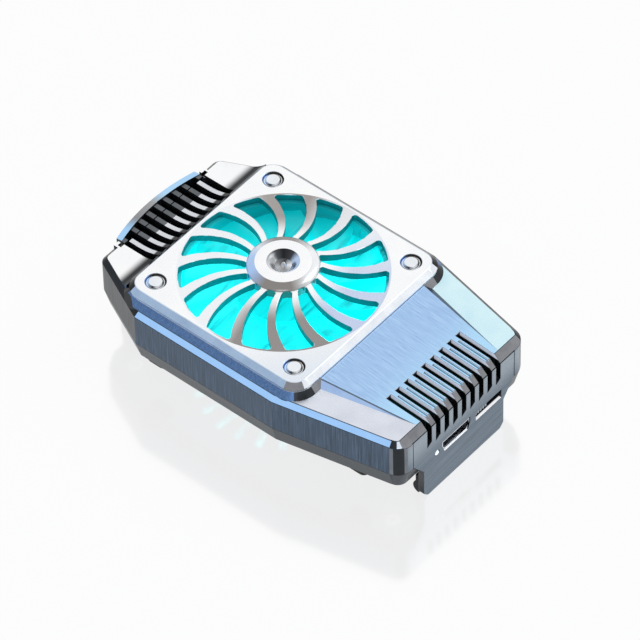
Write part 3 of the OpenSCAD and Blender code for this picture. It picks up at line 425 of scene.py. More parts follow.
@dataclass(frozen=True)
class BrushedAluminium:
    """Anodised aluminium, brushed with a belt: a soft sheen broken by fine straight lines.

    Args:
        name: the material's name.
        dark: the lines' darkest colour.
        mid: the colour in between.
        light: the lines' lightest colour.
        brush: which way the lines run.
        metallic: how metallic it is; the anodised layer takes some off.
        roughness: the surface's roughness.
        depth_mm: the lines' depth in millimetres.
        fade: the colour it turns into, and where.
    """

    name: str
    dark: str
    mid: str
    light: str
    brush: Brush
    metallic: float = 0.75
    roughness: float = 0.34
    depth_mm: float = 0.012
    fade: Fade | None = None

    def make(self) -> bpy.types.Material:
        """Builds the material.

        Returns:
            The material.
        """
        material, tree = blank_material(self.name)
        lines = grain(tree, self.brush.value, detail=3.0, rough=0.7)
        cloud = grain(tree, Spot.CLOUD.value, detail=1.0)
        tone = ramp(tree, lines, ((0.34, self.dark), (0.5, self.mid), (0.68, self.light)))
        base = mixed(tree, remap(tree, cloud, 0.0, 0.35), tone, linear(self.mid))
        base = faded(tree, base, self.fade)
        surface(
            tree,
            {
                "Base Color": base,
                "Metallic": self.metallic,
                "Roughness": remap(tree, lines, self.roughness - 0.08, self.roughness + 0.1),
            },
            height=lines,
            depth_mm=self.depth_mm,
            strength=0.5,
        )
        return material


@dataclass(frozen=True)
class PolishedAluminium:
    """Aluminium cut bright and polished: an even, nearly mirror-like face with faint haze.

    Args:
        name: the material's name.
        colour: its colour.
        tint: the haze's colour.
        metallic: how metallic it is.
        roughness: the roughness outside the haze.
        fade: the colour it turns into, and where.
        glint: a painted glint, given off as light; 1 is as bright as white paper.
    """

    name: str
    colour: str
    tint: str
    metallic: float = 0.9
    roughness: float = 0.16
    fade: Fade | None = None
    glint: float = 0.0

    def make(self) -> bpy.types.Material:
        """Builds the material.

        Returns:
            The material.
        """
        material, tree = blank_material(self.name)
        haze = grain(tree, Spot.HAZE.value, detail=4.0)
        base = ramp(tree, haze, ((0.3, self.tint), (0.7, self.colour)))
        base = faded(tree, base, self.fade)
        surface(
            tree,
            {
                "Base Color": base,
                "Metallic": self.metallic,
                "Roughness": remap(tree, haze, self.roughness, self.roughness + 0.1),
                "Emission Color": base,
                "Emission Strength": self.glint,
            },
        )
        return material


@dataclass(frozen=True)
class SatinSilver:
    """Bead-blasted, silver-anodised aluminium: pale, even, with a very fine sparkle.

    Args:
        name: the material's name.
        colour: its colour.
        shade: the colour of its darker patches.
        roughness: the surface's roughness.
        metallic: how metallic it is.
        fade: the colour it turns into, and where.
        vanes: the painted light and shade on the vanes, where it is on them.
    """

    name: str
    colour: str
    shade: str
    roughness: float = 0.3
    metallic: float = 0.85
    fade: Fade | None = None
    vanes: PaintedVaneLight | None = None

    def make(self) -> bpy.types.Material:
        """Builds the material.

        Returns:
            The material.
        """
        material, tree = blank_material(self.name)
        beads = grain(tree, Spot.BEAD.value, detail=2.0)
        cloud = grain(tree, Spot.PATCH.value, detail=2.0)
        base = ramp(tree, cloud, ((0.3, self.shade), (0.62, self.colour)))
        base = faded(tree, base, self.fade)
        if self.vanes:
            base = self.vanes.over(tree, base)
        surface(
            tree,
            {
                "Base Color": base,
                "Metallic": self.metallic,
                "Roughness": remap(tree, beads, self.roughness - 0.05, self.roughness + 0.08),
            },
        )
        return material


@dataclass(frozen=True)
class WedgeReflection:
    """Metal with a painted reflection: soft wedges of painted light and shade run round an axis, as
    the light falls on metal spun on a lathe.

    Args:
        name: the material's name.
        stops: share of a full turn, counted from -X, to the colour there.
        at_pins: whether the axes are the four grille pins and not the fan's.
        roughness: the surface's roughness.
        metallic: how metallic it is.
        pin_mm: how far the pins' axes lie from the middle, along X and along Y.
    """

    name: str
    stops: Stops
    at_pins: bool = False
    roughness: float = 0.2
    metallic: float = 0.85
    pin_mm: float = 16.0

    def make(self) -> bpy.types.Material:
        """Builds the material.

        Returns:
            The material.
        """
        material, tree = blank_material(self.name)
        place = add(tree, "ShaderNodeTexCoord").outputs["Object"]
        if self.at_pins:
            side = add(tree, "ShaderNodeVectorMath", {"operation": "SIGN"}, {0: place})
            centre = add(
                tree,
                "ShaderNodeVectorMath",
                {"operation": "MULTIPLY"},
                {0: side.outputs[0], 1: (self.pin_mm * MM, self.pin_mm * MM, 0)},
            )
            local = add(
                tree,
                "ShaderNodeVectorMath",
                {"operation": "SUBTRACT"},
                {0: place, 1: centre.outputs[0]},
            )
            place = local.outputs[0]
        turn = add(tree, "ShaderNodeTexGradient", {"gradient_type": "RADIAL"}, {0: place})
        rings = grain(tree, Spot.TURNING.value, detail=3.0)
        base = ramp(tree, turn.outputs[1], self.stops)
        surface(
            tree,
            {
                "Base Color": base,
                "Metallic": self.metallic,
                "Roughness": remap(tree, rings, self.roughness, self.roughness + 0.08),
            },
        )
        return material


# The way across the fan to the side that lies in the grille's shade.
SHADED_SIDE = (-0.63, 0.776, 0.0)


@dataclass(frozen=True)
class LitPlastic:
    """Milky polycarbonate that glows by emission: on the lamps' lenses and pipe a real light,
    elsewhere painted light from the lamps, and less towards its far side, a painted shade.

    Args:
        name: the material's name.
        colour: its colour, and that of the light it gives off.
        deep: the colour of its flow lines, and of the painted shade on its far side where no fade
            is given.
        glow: how much light it gives off; 1 is as bright as white paper.
        fade: the colour it turns into, and where.
    """

    name: str
    colour: str
    deep: str
    glow: float
    fade: Fade | None = None

    def make(self) -> bpy.types.Material:
        """Builds the material, whose streaks are the mould's flow lines.

        Returns:
            The material.
        """
        material, tree = blank_material(self.name)
        flow = grain(tree, Spot.FLOW.value, detail=2.0)
        even = ramp(tree, flow, ((0.25, self.deep), (0.45, self.colour)))
        # Without a fade of its own it is painted deeper towards the grille's shaded side, a painted
        # shade.
        tone = faded(tree, even, self.fade or Fade(self.deep, SHADED_SIDE, 3.0, 19.0))
        surface(
            tree,
            {
                "Base Color": tone,
                "Roughness": 0.35,
                "Emission Color": tone,
                "Emission Strength": self.glow,
            },
        )
        return material


@dataclass(frozen=True)
class MouldedRubber:
    """Moulded silicone rubber: matt, with a very fine pebble from the mould.

    Args:
        name: the material's name.
        colour: its colour.
        shade: the colour between the pebbles.
        roughness: the surface's roughness.
    """

    name: str
    colour: str
    shade: str
    roughness: float = 0.62

    def make(self) -> bpy.types.Material:
        """Builds the material.

        Returns:
            The material.
        """
        material, tree = blank_material(self.name)
        pebble = grain(tree, Spot.PEBBLE.value, detail=3.0)
        base = ramp(tree, pebble, ((0.35, self.shade), (0.65, self.colour)))
        surface(
            tree,
            {
                "Base Color": base,
                "Roughness": remap(tree, pebble, self.roughness - 0.06, self.roughness + 0.1),
                "IOR": 1.41,
            },
            height=pebble,
            depth_mm=0.02,
            strength=0.5,
        )
        return material


@dataclass(frozen=True)
class MouldedPlastic:
    """Injection-moulded ABS: an even colour with the mould's fine spark texture.

    Args:
        name: the material's name.
        colour: its colour.
        shade: the colour of its darker patches.
        roughness: the surface's roughness.
    """

    name: str
    colour: str
    shade: str
    roughness: float = 0.42

    def make(self) -> bpy.types.Material:
        """Builds the material.

        Returns:
            The material.
        """
        material, tree = blank_material(self.name)
        spark = grain(tree, Spot.SPARK.value, detail=2.0)
        cloud = grain(tree, Spot.HAZE.value, detail=1.0)
        base = ramp(tree, cloud, ((0.3, self.shade), (0.7, self.colour)))
        surface(
            tree,
            {
                "Base Color": base,
                "Roughness": remap(tree, spark, self.roughness - 0.05, self.roughness + 0.08),
                "IOR": 1.54,
            },
            height=spark,
            depth_mm=0.01,
            strength=0.4,
        )
        return material


@dataclass(frozen=True)
class BareMetal:
    """Turned or drawn metal: steel, bronze, enamelled copper or nickel, with faint streaks.

    Args:
        name: the material's name.
        colour: its colour.
        shade: the colour of the streaks.
        spots_mm: size of a streak along each axis, in millimetres.
        roughness: the surface's roughness.
    """

    name: str
    colour: str
    shade: str
    spots_mm: Spots = (0.5, 0.5, 0.5)
    roughness: float = 0.28

    def make(self) -> bpy.types.Material:
        """Builds the material.

        Returns:
            The material.
        """
        material, tree = blank_material(self.name)
        streak = grain(tree, self.spots_mm, detail=3.0)
        base = ramp(tree, streak, ((0.32, self.shade), (0.68, self.colour)))
        surface(
            tree,
            {
                "Base Color": base,
                "Metallic": 1.0,
                "Roughness": remap(tree, streak, self.roughness - 0.06, self.roughness + 0.1),
            },
            height=streak,
            depth_mm=0.004,
            strength=0.4,
        )
        return material


@dataclass(frozen=True)
class SinteredFerrite:
    """Sintered ferrite: a matt, slightly grainy dark ceramic.

    Args:
        name: the material's name.
    """

    name: str = "sintered_ferrite"

    def make(self) -> bpy.types.Material:
        """Builds the material.

        Returns:
            The material.
        """
        material, tree = blank_material(self.name)
        grit = grain(tree, Spot.GRIT.value, detail=3.0)
        base = ramp(tree, grit, ((0.3, "#1e1e20"), (0.7, "#3b3b3f")))
        surface(
            tree,
            {"Base Color": base, "Roughness": 0.7},
            height=grit,
            depth_mm=0.01,
            strength=0.5,
        )
        return material


@dataclass(frozen=True)
class PrintedBoard:
    """Glass-fibre circuit board: solder mask over copper tracks that stand out a little.

    Args:
        name: the material's name.
        mask: the solder mask's colour.
        track: the tracks' colour.
        pitch_mm: how far apart the tracks run, in millimetres.
        gap_mm: width of the gaps between them, in millimetres.
        run: a track's length, in pitches.
    """

    name: str
    mask: str
    track: str
    pitch_mm: float = 1.1
    gap_mm: float = 0.11
    run: float = 3.1

    def make(self) -> bpy.types.Material:
        """Builds the material, with tracks from a brick pattern.

        Returns:
            The material.
        """
        material, tree = blank_material(self.name)
        place = add(tree, "ShaderNodeTexCoord")
        bricks = add(
            tree,
            "ShaderNodeTexBrick",
            {"offset": 0.5, "squash": 1.0},
            {
                "Vector": place.outputs["Object"],
                "Scale": 1.0,
                "Mortar Size": self.gap_mm * MM,
                "Mortar Smooth": 0.1,
                "Brick Width": self.run * self.pitch_mm * MM,
                "Row Height": self.pitch_mm * MM,
                "Color1": (1, 1, 1, 1),
                "Color2": (0.75, 0.75, 0.75, 1),
                "Mortar": (0, 0, 0, 1),
            },
        )
        base = mixed(tree, bricks.outputs["Fac"], linear(self.mask), linear(self.track))
        surface(
            tree,
            {"Base Color": base, "Roughness": 0.32, "IOR": 1.5},
            height=bricks.outputs["Fac"],
            depth_mm=0.03,
            strength=0.5,
        )
        return material


# Straight up from the sloped ramp, and straight down into it.
RAMP_UP = (0.0607, 0, 0.998)
RAMP_DOWN = (-0.0607, 0, -0.998)

# The shell's walls: anodised aluminium brushed upright, which shows fine standing lines of light.
SHELL_SIDE = BrushedAluminium("brushed_side", "#394551", "#46576a", "#5d7086", Brush.UPRIGHT)
# The tapered end's walls, and the jaw's outer faces: a darker copy of the side walls, a painted
# shade.
SHELL_TAPER = BrushedAluminium("brushed_taper", "#24272a", "#2f3336", "#404447", Brush.UPRIGHT)
# Facets cut bright: each is painted one plain light or dark tone, a painted reflection of one part
# of the room.
SHELL_CORNER = PolishedAluminium("dark_corner", "#2e3236", "#26292d", roughness=0.3)
# The deck, in silver-anodised aluminium blasted with beads: pale and even, without a mirror image.
SHELL_DECK = SatinSilver("satin_deck", "#e4e8f1", "#d6dbe6")
# The deck's far half: a paler, cyan-tinted copy of the deck, painted light.
SHELL_DECK_FAR = SatinSilver("satin_deck_far", "#dcf7fd", "#cdeef8")
# The shoulders: white, painted dark towards the plate, a painted shade in the fillet that rises to
# it.
SHELL_SHOULDER = SatinSilver(
    "satin_shoulder", "#ffffff", "#fbfcfd", 0.35, 0.85, Fade("#1c1f22", (1, 0, 0), -23.9, -21.8)
)
# The ramp, brushed along its slope: long pale blue lines, painted paler towards the port end, a
# painted light.
SHELL_RAMP = BrushedAluminium(
    "brushed_ramp",
    "#9dbde6",
    "#a9cbf2",
    "#bcdafa",
    Brush.ALONG_X,
    fade=Fade("#b6e2ff", (1, 0, 0), 27, 37),
)
# The ramp's flanks and the long chamfers, cut bright, with a thin dark line at their upper edge;
# the near ones are painted light blue and the far ones dark, painted reflections.
SHELL_FLANK = PolishedAluminium(
    "polished_flank", "#a9c4ea", "#9ab6e0", fade=Fade("#5f6c7c", RAMP_UP, 13.78, 13.84)
)
SHELL_FLANK_FAR = PolishedAluminium("dark_flank", "#26395a", "#1c2c48")
SHELL_STRIP = PolishedAluminium(
    "polished_strip", "#a5d0ff", "#9cc8f8", fade=Fade("#46525f", (0, 0, 1), 11.46, 11.51)
)
# The jaw's curved top: painted reflections along its bow, grey at its ends and sky blue between.
JAW_TOP = WedgeReflection(
    "jaw_top_painted_reflection",
    ((0.0, "#a4a6a8"), (0.025, "#8f9194"), (0.04, "#a9d4fb"), (0.09, "#b4dcfa"), (0.5, "#b4dcfa"),
     (0.93, "#a9d4fb"), (0.985, "#b4dcfa"), (1.0, "#a4a6a8")),
)
# The raised wall round the grille: brushed like the shell's walls, but a clearer blue.
SHELL_WALL = BrushedAluminium(
    "brushed_raised_wall", "#456594", "#50719f", "#6585af", Brush.UPRIGHT
)
# Its ends and the chamfers across the body, cut bright, are painted dark and grey, painted
# reflections of the room's dark and grey parts.
SHELL_WALL_END = PolishedAluminium("dark_raised_wall", "#3a3e43", "#26292c", roughness=0.25)
SHELL_CHAMFER = PolishedAluminium("grey_chamfer", "#8d8e92", "#7a7b80")
# Softened edges: a narrow line that is brighter or darker than the faces beside it; the bright line
# is a painted highlight.
SHELL_EDGE = PolishedAluminium("bright_edge", "#dfeaf6", "#c9d8e6", roughness=0.2)
DARK_EDGE = PolishedAluminium("dim_edge_line", "#7b8996", "#65727e", roughness=0.3)
SHELL_SEAM = PolishedAluminium("dark_seam", "#36424f", "#28313b", roughness=0.3)
# What lies in the dark behind the openings, the shell's own inner faces too: painted near-black, a
# painted shade, with a moulded plastic's matt finish.
SHELL_INNER = MouldedPlastic("dark_inside", "#14171c", "#0b0d11")
# The grooves along the ramp's ribs and the port end's narrow corners: cut bright, each painted one
# tone, a painted shade in the grooves and a painted reflection on the corners.
RIB_GROOVE = PolishedAluminium("rib_groove", "#5f9bb8", "#4d86a3", roughness=0.3)
SHELL_GREY = PolishedAluminium("grey_corner", "#7a8087", "#666c73", roughness=0.25)
# The comb's fins: cut bright on top, painted dark where they go down under the plate, a painted
# shade.
FIN_TOP = PolishedAluminium(
    "fin_top", "#f4f6f9", "#e9ecf0", 0.4, 0.25, Fade("#15171a", (1, 0, 0), -22.3, -21.8)
)
FIN_FLAT = PolishedAluminium("fin_flat", "#6d7175", "#5b5f63", roughness=0.3)
# The ramp's slots: pale lavender with a painted glint just below the ramp, and painted black in
# their depth, a painted shade.
SLOT_WALL = PolishedAluminium(
    "slot_wall_glint_and_shade",
    "#dfe6f4",
    "#d2daec",
    metallic=0.0,
    roughness=0.4,
    fade=Fade("#05070a", RAMP_DOWN, -13.22, -13.0),
    glint=0.38,
)
# The sills of the port end's openings: white with a glow, a painted highlight, and painted black
# further in, a painted shade.
SLOT_FLOOR = LitPlastic(
    "white_sill", "#ffffff", "#f1f6fa", 0.5, Fade("#0b0d10", (-1, 0, 0), -40.64, -40.5)
)
# The cover and the port plate: anodised aluminium in darker tones, brushed lengthwise; the port
# plate is painted paler towards its top, a painted light.
COVER_SIDE = BrushedAluminium("brushed_cover", "#30363c", "#3c4248", "#50585f", Brush.ALONG_X)
COVER_FLOOR = BrushedAluminium("brushed_floor", "#59636d", "#6c7782", "#848f9a", Brush.ALONG_X)
END_FACE = BrushedAluminium(
    "brushed_end", "#485767", "#5a6a78", "#788897", Brush.ALONG_Y,
    fade=Fade("#8d98a2", (0, 0, 1), 2.5, 8.5),
)
# The grille: satin silver on top, bevels with painted reflections, and vanes with painted light and
# shade round the axis.
PAINTED_VANE_LIGHT = PaintedVaneLight(
    (
        (0.0, "#f4f7fa"), (0.24, "#f4f7fa"), (0.285, "#979391"), (0.43, "#979391"),
        (0.468, "#c6d2ec"), (0.58, "#cbd7ee"), (0.7, "#eef2f7"), (0.78, "#e4e4e6"),
        (0.82, "#a09c99"), (0.89, "#a8a4a1"), (0.93, "#f4f7fa"), (1.0, "#f4f7fa"),
    )
)
# The plate's top is painted a little darker towards +X and -Y, a painted shade.
PLATE_TOP = SatinSilver(
    "satin_plate", "#ffffff", "#fafbfd", fade=Fade("#e3eaf3", (0.8, -0.6, 0), 8, 30),
    vanes=PAINTED_VANE_LIGHT,
)
# The plate's bevels: one metal, painted blue, dark, white or grey by the way each faces, painted
# reflections.
PLATE_BEVEL = PolishedAluminium("polished_plate_bevel", "#a6bdd9", "#95adca")
PLATE_BEVEL_DARK = PolishedAluminium("dark_plate_bevel", "#202326", "#17191c")
PLATE_BEVEL_WHITE = PolishedAluminium("white_plate_bevel", "#f1f5f9", "#e3e9f0")
# The windows' walls: painted teal, a painted cyan light from the fan's glow below.
VANE_WALL = PolishedAluminium("vane_wall", "#0c8f96", "#0a7c84", metallic=0.3, roughness=0.3)
# The hub, turned on a lathe: wedges of painted light and shade, a painted reflection, run round its
# band, bowl and knob.
HUB_BAND = WedgeReflection(
    "hub_band_painted_reflection",
    (
        (0.0, "#dfe6ef"), (0.07, "#b4cdf2"), (0.17, "#aac6f0"), (0.27, "#8b8784"),
        (0.4, "#8a8683"), (0.5, "#e8ebee"), (0.68, "#f7f8fa"), (0.8, "#a09d9b"),
        (0.9, "#918e8c"), (1.0, "#dfe6ef"),
    ),
)
HUB_BOWL = WedgeReflection(
    "hub_bowl_painted_reflection",
    (
        (0.0, "#8b8d90"), (0.12, "#c9ccd0"), (0.3, "#f4f6f8"), (0.42, "#e9eef6"),
        (0.52, "#a9c2e6"), (0.66, "#b8cdeb"), (0.74, "#3a3d42"), (0.86, "#1d1f22"),
        (0.95, "#4a4d51"), (1.0, "#8b8d90"),
    ),
)
HUB_KNOB = WedgeReflection(
    "hub_knob_painted_reflection",
    ((0.0, "#77797c"), (0.2, "#b9bbbe"), (0.4, "#8f9194"), (0.6, "#e8ecf1"), (0.8, "#3a3c40"),
     (1.0, "#77797c")),
)
# The grille's pins: a polished white top in a ring painted all round with a reflection of the room,
# a painted reflection.
PIN_SKIN = PolishedAluminium("polished_pin", "#f4f7fa", "#e8edf2", roughness=0.14)
PIN_RING = WedgeReflection(
    "pin_ring",
    ((0.0, "#a8c3e6"), (0.15, "#b9d0ee"), (0.3, "#2b2d30"), (0.42, "#d9dce0"), (0.55, "#47494c"),
     (0.7, "#8b8782"), (0.9, "#77736f"), (1.0, "#a8c3e6")),
    at_pins=True,
)
# Milky polycarbonate round the lamps: its cyan glow is painted light from the lamps, deeper on the
# shaded side, a painted shade.
ROTOR_PLASTIC = LitPlastic(
    "lit_rotor", "#12ffff", "#06b4ba", 0.55, Fade("#06b4ba", SHADED_SIDE, 5.0, 19.0)
)
FRAME_PLASTIC = LitPlastic(
    "lit_fan_frame", "#10f4f8", "#05959c", 0.42, Fade("#05959c", SHADED_SIDE, 5.0, 19.0)
)
# The ring board and the cover's floor glow too, painted light; the lenses are the lamps themselves.
RING_BOARD = LitPlastic("lit_ring_board", "#22e6ea", "#0a8f96", 0.32)
LAMP_LENS = LitPlastic("lit_lens", "#c8ffff", "#7ffbff", 1.6)
GLOW_FLOOR = LitPlastic("lit_floor", "#0fd9df", "#078d94", 0.3)
# Grips, pads and small mouldings: matt black rubber and plastic, and a pale grey knob.
BLACK_RUBBER = MouldedRubber("black_rubber", "#1b1c1f", "#0c0c0e")
BLACK_PLASTIC = MouldedPlastic("black_plastic", "#1c1d20", "#101114")
KNOB_PLASTIC = MouldedPlastic("grey_knob", "#b6bec4", "#9aa4ab")
# The motor, springs, screws and socket: bare metals, each with its own colour and streaks.
STEEL = BareMetal("drawn_steel", "#c9ccd1", "#9a9ea5")
NICKEL = BareMetal("nickel_shell", "#dadde2", "#b3b8bf", roughness=0.2)
BRONZE = BareMetal("sintered_bronze", "#b98a4e", "#8f6535", (0.15, 0.15, 0.15), 0.4)
COPPER = BareMetal("enamelled_copper", "#c46a35", "#8f4319", (0.4, 0.4, 0.4), 0.3)
LAMINATION = BareMetal("silicon_steel", "#8b8f95", "#62666c", (4.0, 4.0, 0.12), 0.4)
FERRITE = SinteredFerrite()
# Circuit boards in green solder mask, and the clear pipe that brings the charge light out.
GREEN_BOARD = PrintedBoard("green_board", "#0e4a2c", "#1d6b41")
LIGHT_PIPE = LitPlastic("lamp_pipe", "#f4fbff", "#dcecff", 0.4)


@cache
def material_of(finish: Finish) -> bpy.types.Material:
    """Returns a finish's material, which is made the first time."""
    return finish.make()


# Meshes

# Corners closer than this are one, and edges shorter than this are none, in metres.
JOIN_WITHIN = 1e-6
TOO_SHORT = 2e-7
# Faces that meet at less than this lie in one plane.
FLAT_WITHIN = math.radians(0.3)


def new_piece(name: str, mesh: bpy.types.Mesh) -> bpy.types.Object:
    """Links a mesh to the scene as a piece at the origin.

    Args:
        name: the piece's name.
        mesh: its mesh.

    Returns:
        The piece.
    """
    piece = bpy.data.objects.new(name, mesh)
    bpy.context.scene.collection.objects.link(piece)
    return piece


def settle(piece: bpy.types.Object) -> bpy.types.Object:
    """Turns a piece's modifiers into plain mesh and removes them.

    Args:
        piece: the piece.

    Returns:
        The same piece.
    """
    graph = bpy.context.evaluated_depsgraph_get()
    mesh = bpy.data.meshes.new_from_object(piece.evaluated_get(graph), depsgraph=graph)
    mesh.name = piece.name
    old = piece.data
    piece.modifiers.clear()
    piece.data = mesh
    bpy.data.meshes.remove(old)
    return piece


def merged(node: str) -> bmesh.types.BMesh:
    """Copies a CAD node's loose triangles as one joined mesh with flat faces made whole.

    Args:
        node: the node's name.

    Returns:
        The joined mesh, which the caller frees.
    """
    bm = bmesh.new()
    bm.from_mesh(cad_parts[node].data)
    bmesh.ops.remove_doubles(bm, verts=bm.verts, dist=JOIN_WITHIN)
    bmesh.ops.dissolve_degenerate(bm, dist=TOO_SHORT, edges=bm.edges)
    bmesh.ops.dissolve_limit(
        bm, angle_limit=FLAT_WITHIN, verts=bm.verts, edges=bm.edges, delimit=set()
    )
    return bm


@dataclass
class Dressing:
    """How one CAD node becomes a finished piece.

    Args:
        node: the CAD node.
        body: the body it rides on.
        slot: the record's material slot.
        finishes: its finishes; the first is the main one.
        sort: names the finish of a face from its middle in mm, its normal and whether it
            belongs to a softened edge.
        width_mm: width of the softened edges.
        angle: edges sharper than this are softened, in degrees.
        segments: faces across a softened edge.
        acute: edges that end at a sharper corner than this stay as they are, in degrees.
        flat_mm2: faces larger than this are shaded flat.
        region: tells the faces that are shaded apart from the rest, from a face's middle
            in mm and its normal.
        cutter: what is carved out of the piece; it is removed afterwards.
        sharp: faces that meet at more than this keep a hard line between them, in degrees.
        short_mm: edges shorter than this need wider corners to be softened.
        short_share: how much wider.
    """

    node: str
    body: str
    slot: str
    finishes: tuple[Finish, ...]
    sort: FaceTest | None = None
    width_mm: float = 0.1
    angle: float = 30.0
    segments: int = 2
    acute: float = 20.0
    flat_mm2: float = 20.0
    region: Callable[[Vector, Vector], bool] | None = None
    cutter: bpy.types.Object | None = None
    sharp: float = 35.0
    short_mm: float = 2.0
    short_share: float = 1.5

    def soft(self, edge: bmesh.types.BMEdge) -> bool:
        """Tells whether an edge stands out, is sharp enough and has room for a round.

        Args:
            edge: the edge.

        Returns:
            True for an edge that is softened.
        """
        if len(edge.link_faces) != 2 or not edge.is_convex:
            return False
        if edge.calc_face_angle() < math.radians(self.angle):
            return False
        short = edge.calc_length() < self.short_mm * MM
        least = math.radians(self.acute * (self.short_share if short else 1.0))
        return all(loop.calc_angle() > least for vert in edge.verts for loop in vert.link_loops)

    def parted(self, edge: bmesh.types.BMEdge) -> bool:
        """Tells whether an edge bounds the region that is shaded apart.

        Args:
            edge: the edge.

        Returns:
            True where only one of its two faces is in the region.
        """
        if not self.region or len(edge.link_faces) != 2:
            return False
        one, other = edge.link_faces
        inside = self.region(one.calc_center_median() / MM, one.normal)
        return inside != self.region(other.calc_center_median() / MM, other.normal)

    def build(self) -> bpy.types.Object:
        """Makes the piece, softens its outward edges and puts it in the node's place.

        Returns:
            The piece.
        """
        bm = merged(self.node)
        rounds = set()
        if self.width_mm:
            rounds = set(
                bmesh.ops.bevel(
                    bm,
                    geom=[edge for edge in bm.edges if self.soft(edge)],
                    offset=self.width_mm * MM,
                    offset_type="OFFSET",
                    segments=self.segments,
                    profile=0.5,
                    affect="EDGES",
                    clamp_overlap=False,
                )["faces"]
            )
        large = [face for face in bm.faces if face.calc_area() > self.flat_mm2 * MM**2]
        bmesh.ops.planar_faces(bm, faces=large, iterations=4, factor=1.0)
        bm.normal_update()
        for face in bm.faces:
            face.smooth = face.calc_area() < self.flat_mm2 * MM**2
            if self.sort:
                at = face.calc_center_median() / MM
                finish = self.sort(at, face.normal, face in rounds)
                face.material_index = self.finishes.index(finish)
        sharp = math.radians(self.sharp)
        for edge in bm.edges:
            edge.smooth = edge.calc_face_angle(0.0) < sharp and not self.parted(edge)
        mesh = bpy.data.meshes.new(self.node)
        bm.to_mesh(mesh)
        bm.free()
        piece = new_piece(f"{self.node}_skin", mesh)
        for finish in self.finishes:
            mesh.materials.append(material_of(finish))
        if self.cutter:
            carving = piece.modifiers.new("carving", "BOOLEAN")
            carving.operation = "DIFFERENCE"
            carving.object = self.cutter
        normals = piece.modifiers.new("even_normals", "WEIGHTED_NORMAL")
        normals.keep_sharp = True
        settle(piece)
        if self.cutter:
            bpy.data.meshes.remove(self.cutter.data)
        return mount(piece, self.body, self.slot, self.node)


def mount(piece: bpy.types.Object, body: str, slot: str, *nodes: str) -> bpy.types.Object:
    """Lets a piece ride on its body and puts it in its nodes' place.

    Args:
        piece: the piece.
        body: the body it rides on.
        slot: the record's material slot; not used.
        nodes: the CAD nodes that it replaces.

    Returns:
        The same piece.
    """
    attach(piece, body)
    if nodes:
        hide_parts(*nodes)
    log.info("%s: %d faces", piece.name, len(piece.data.polygons))
    return piece


# Sub-assemblies


# How squarely a face looks along an axis: the least part of its normal that lies along it.
LEVEL = 0.97
STRAIGHT = 0.9
SQUARE = 0.8
LEANING = 0.5
CHAMFERED = 0.45
SLANTED = 0.3
SLIGHT = 0.2
BARELY = 0.15
# How far a face's middle may be off a level or a line that it lies on, in mm.
CLOSE = 0.05
NEAR = 0.1


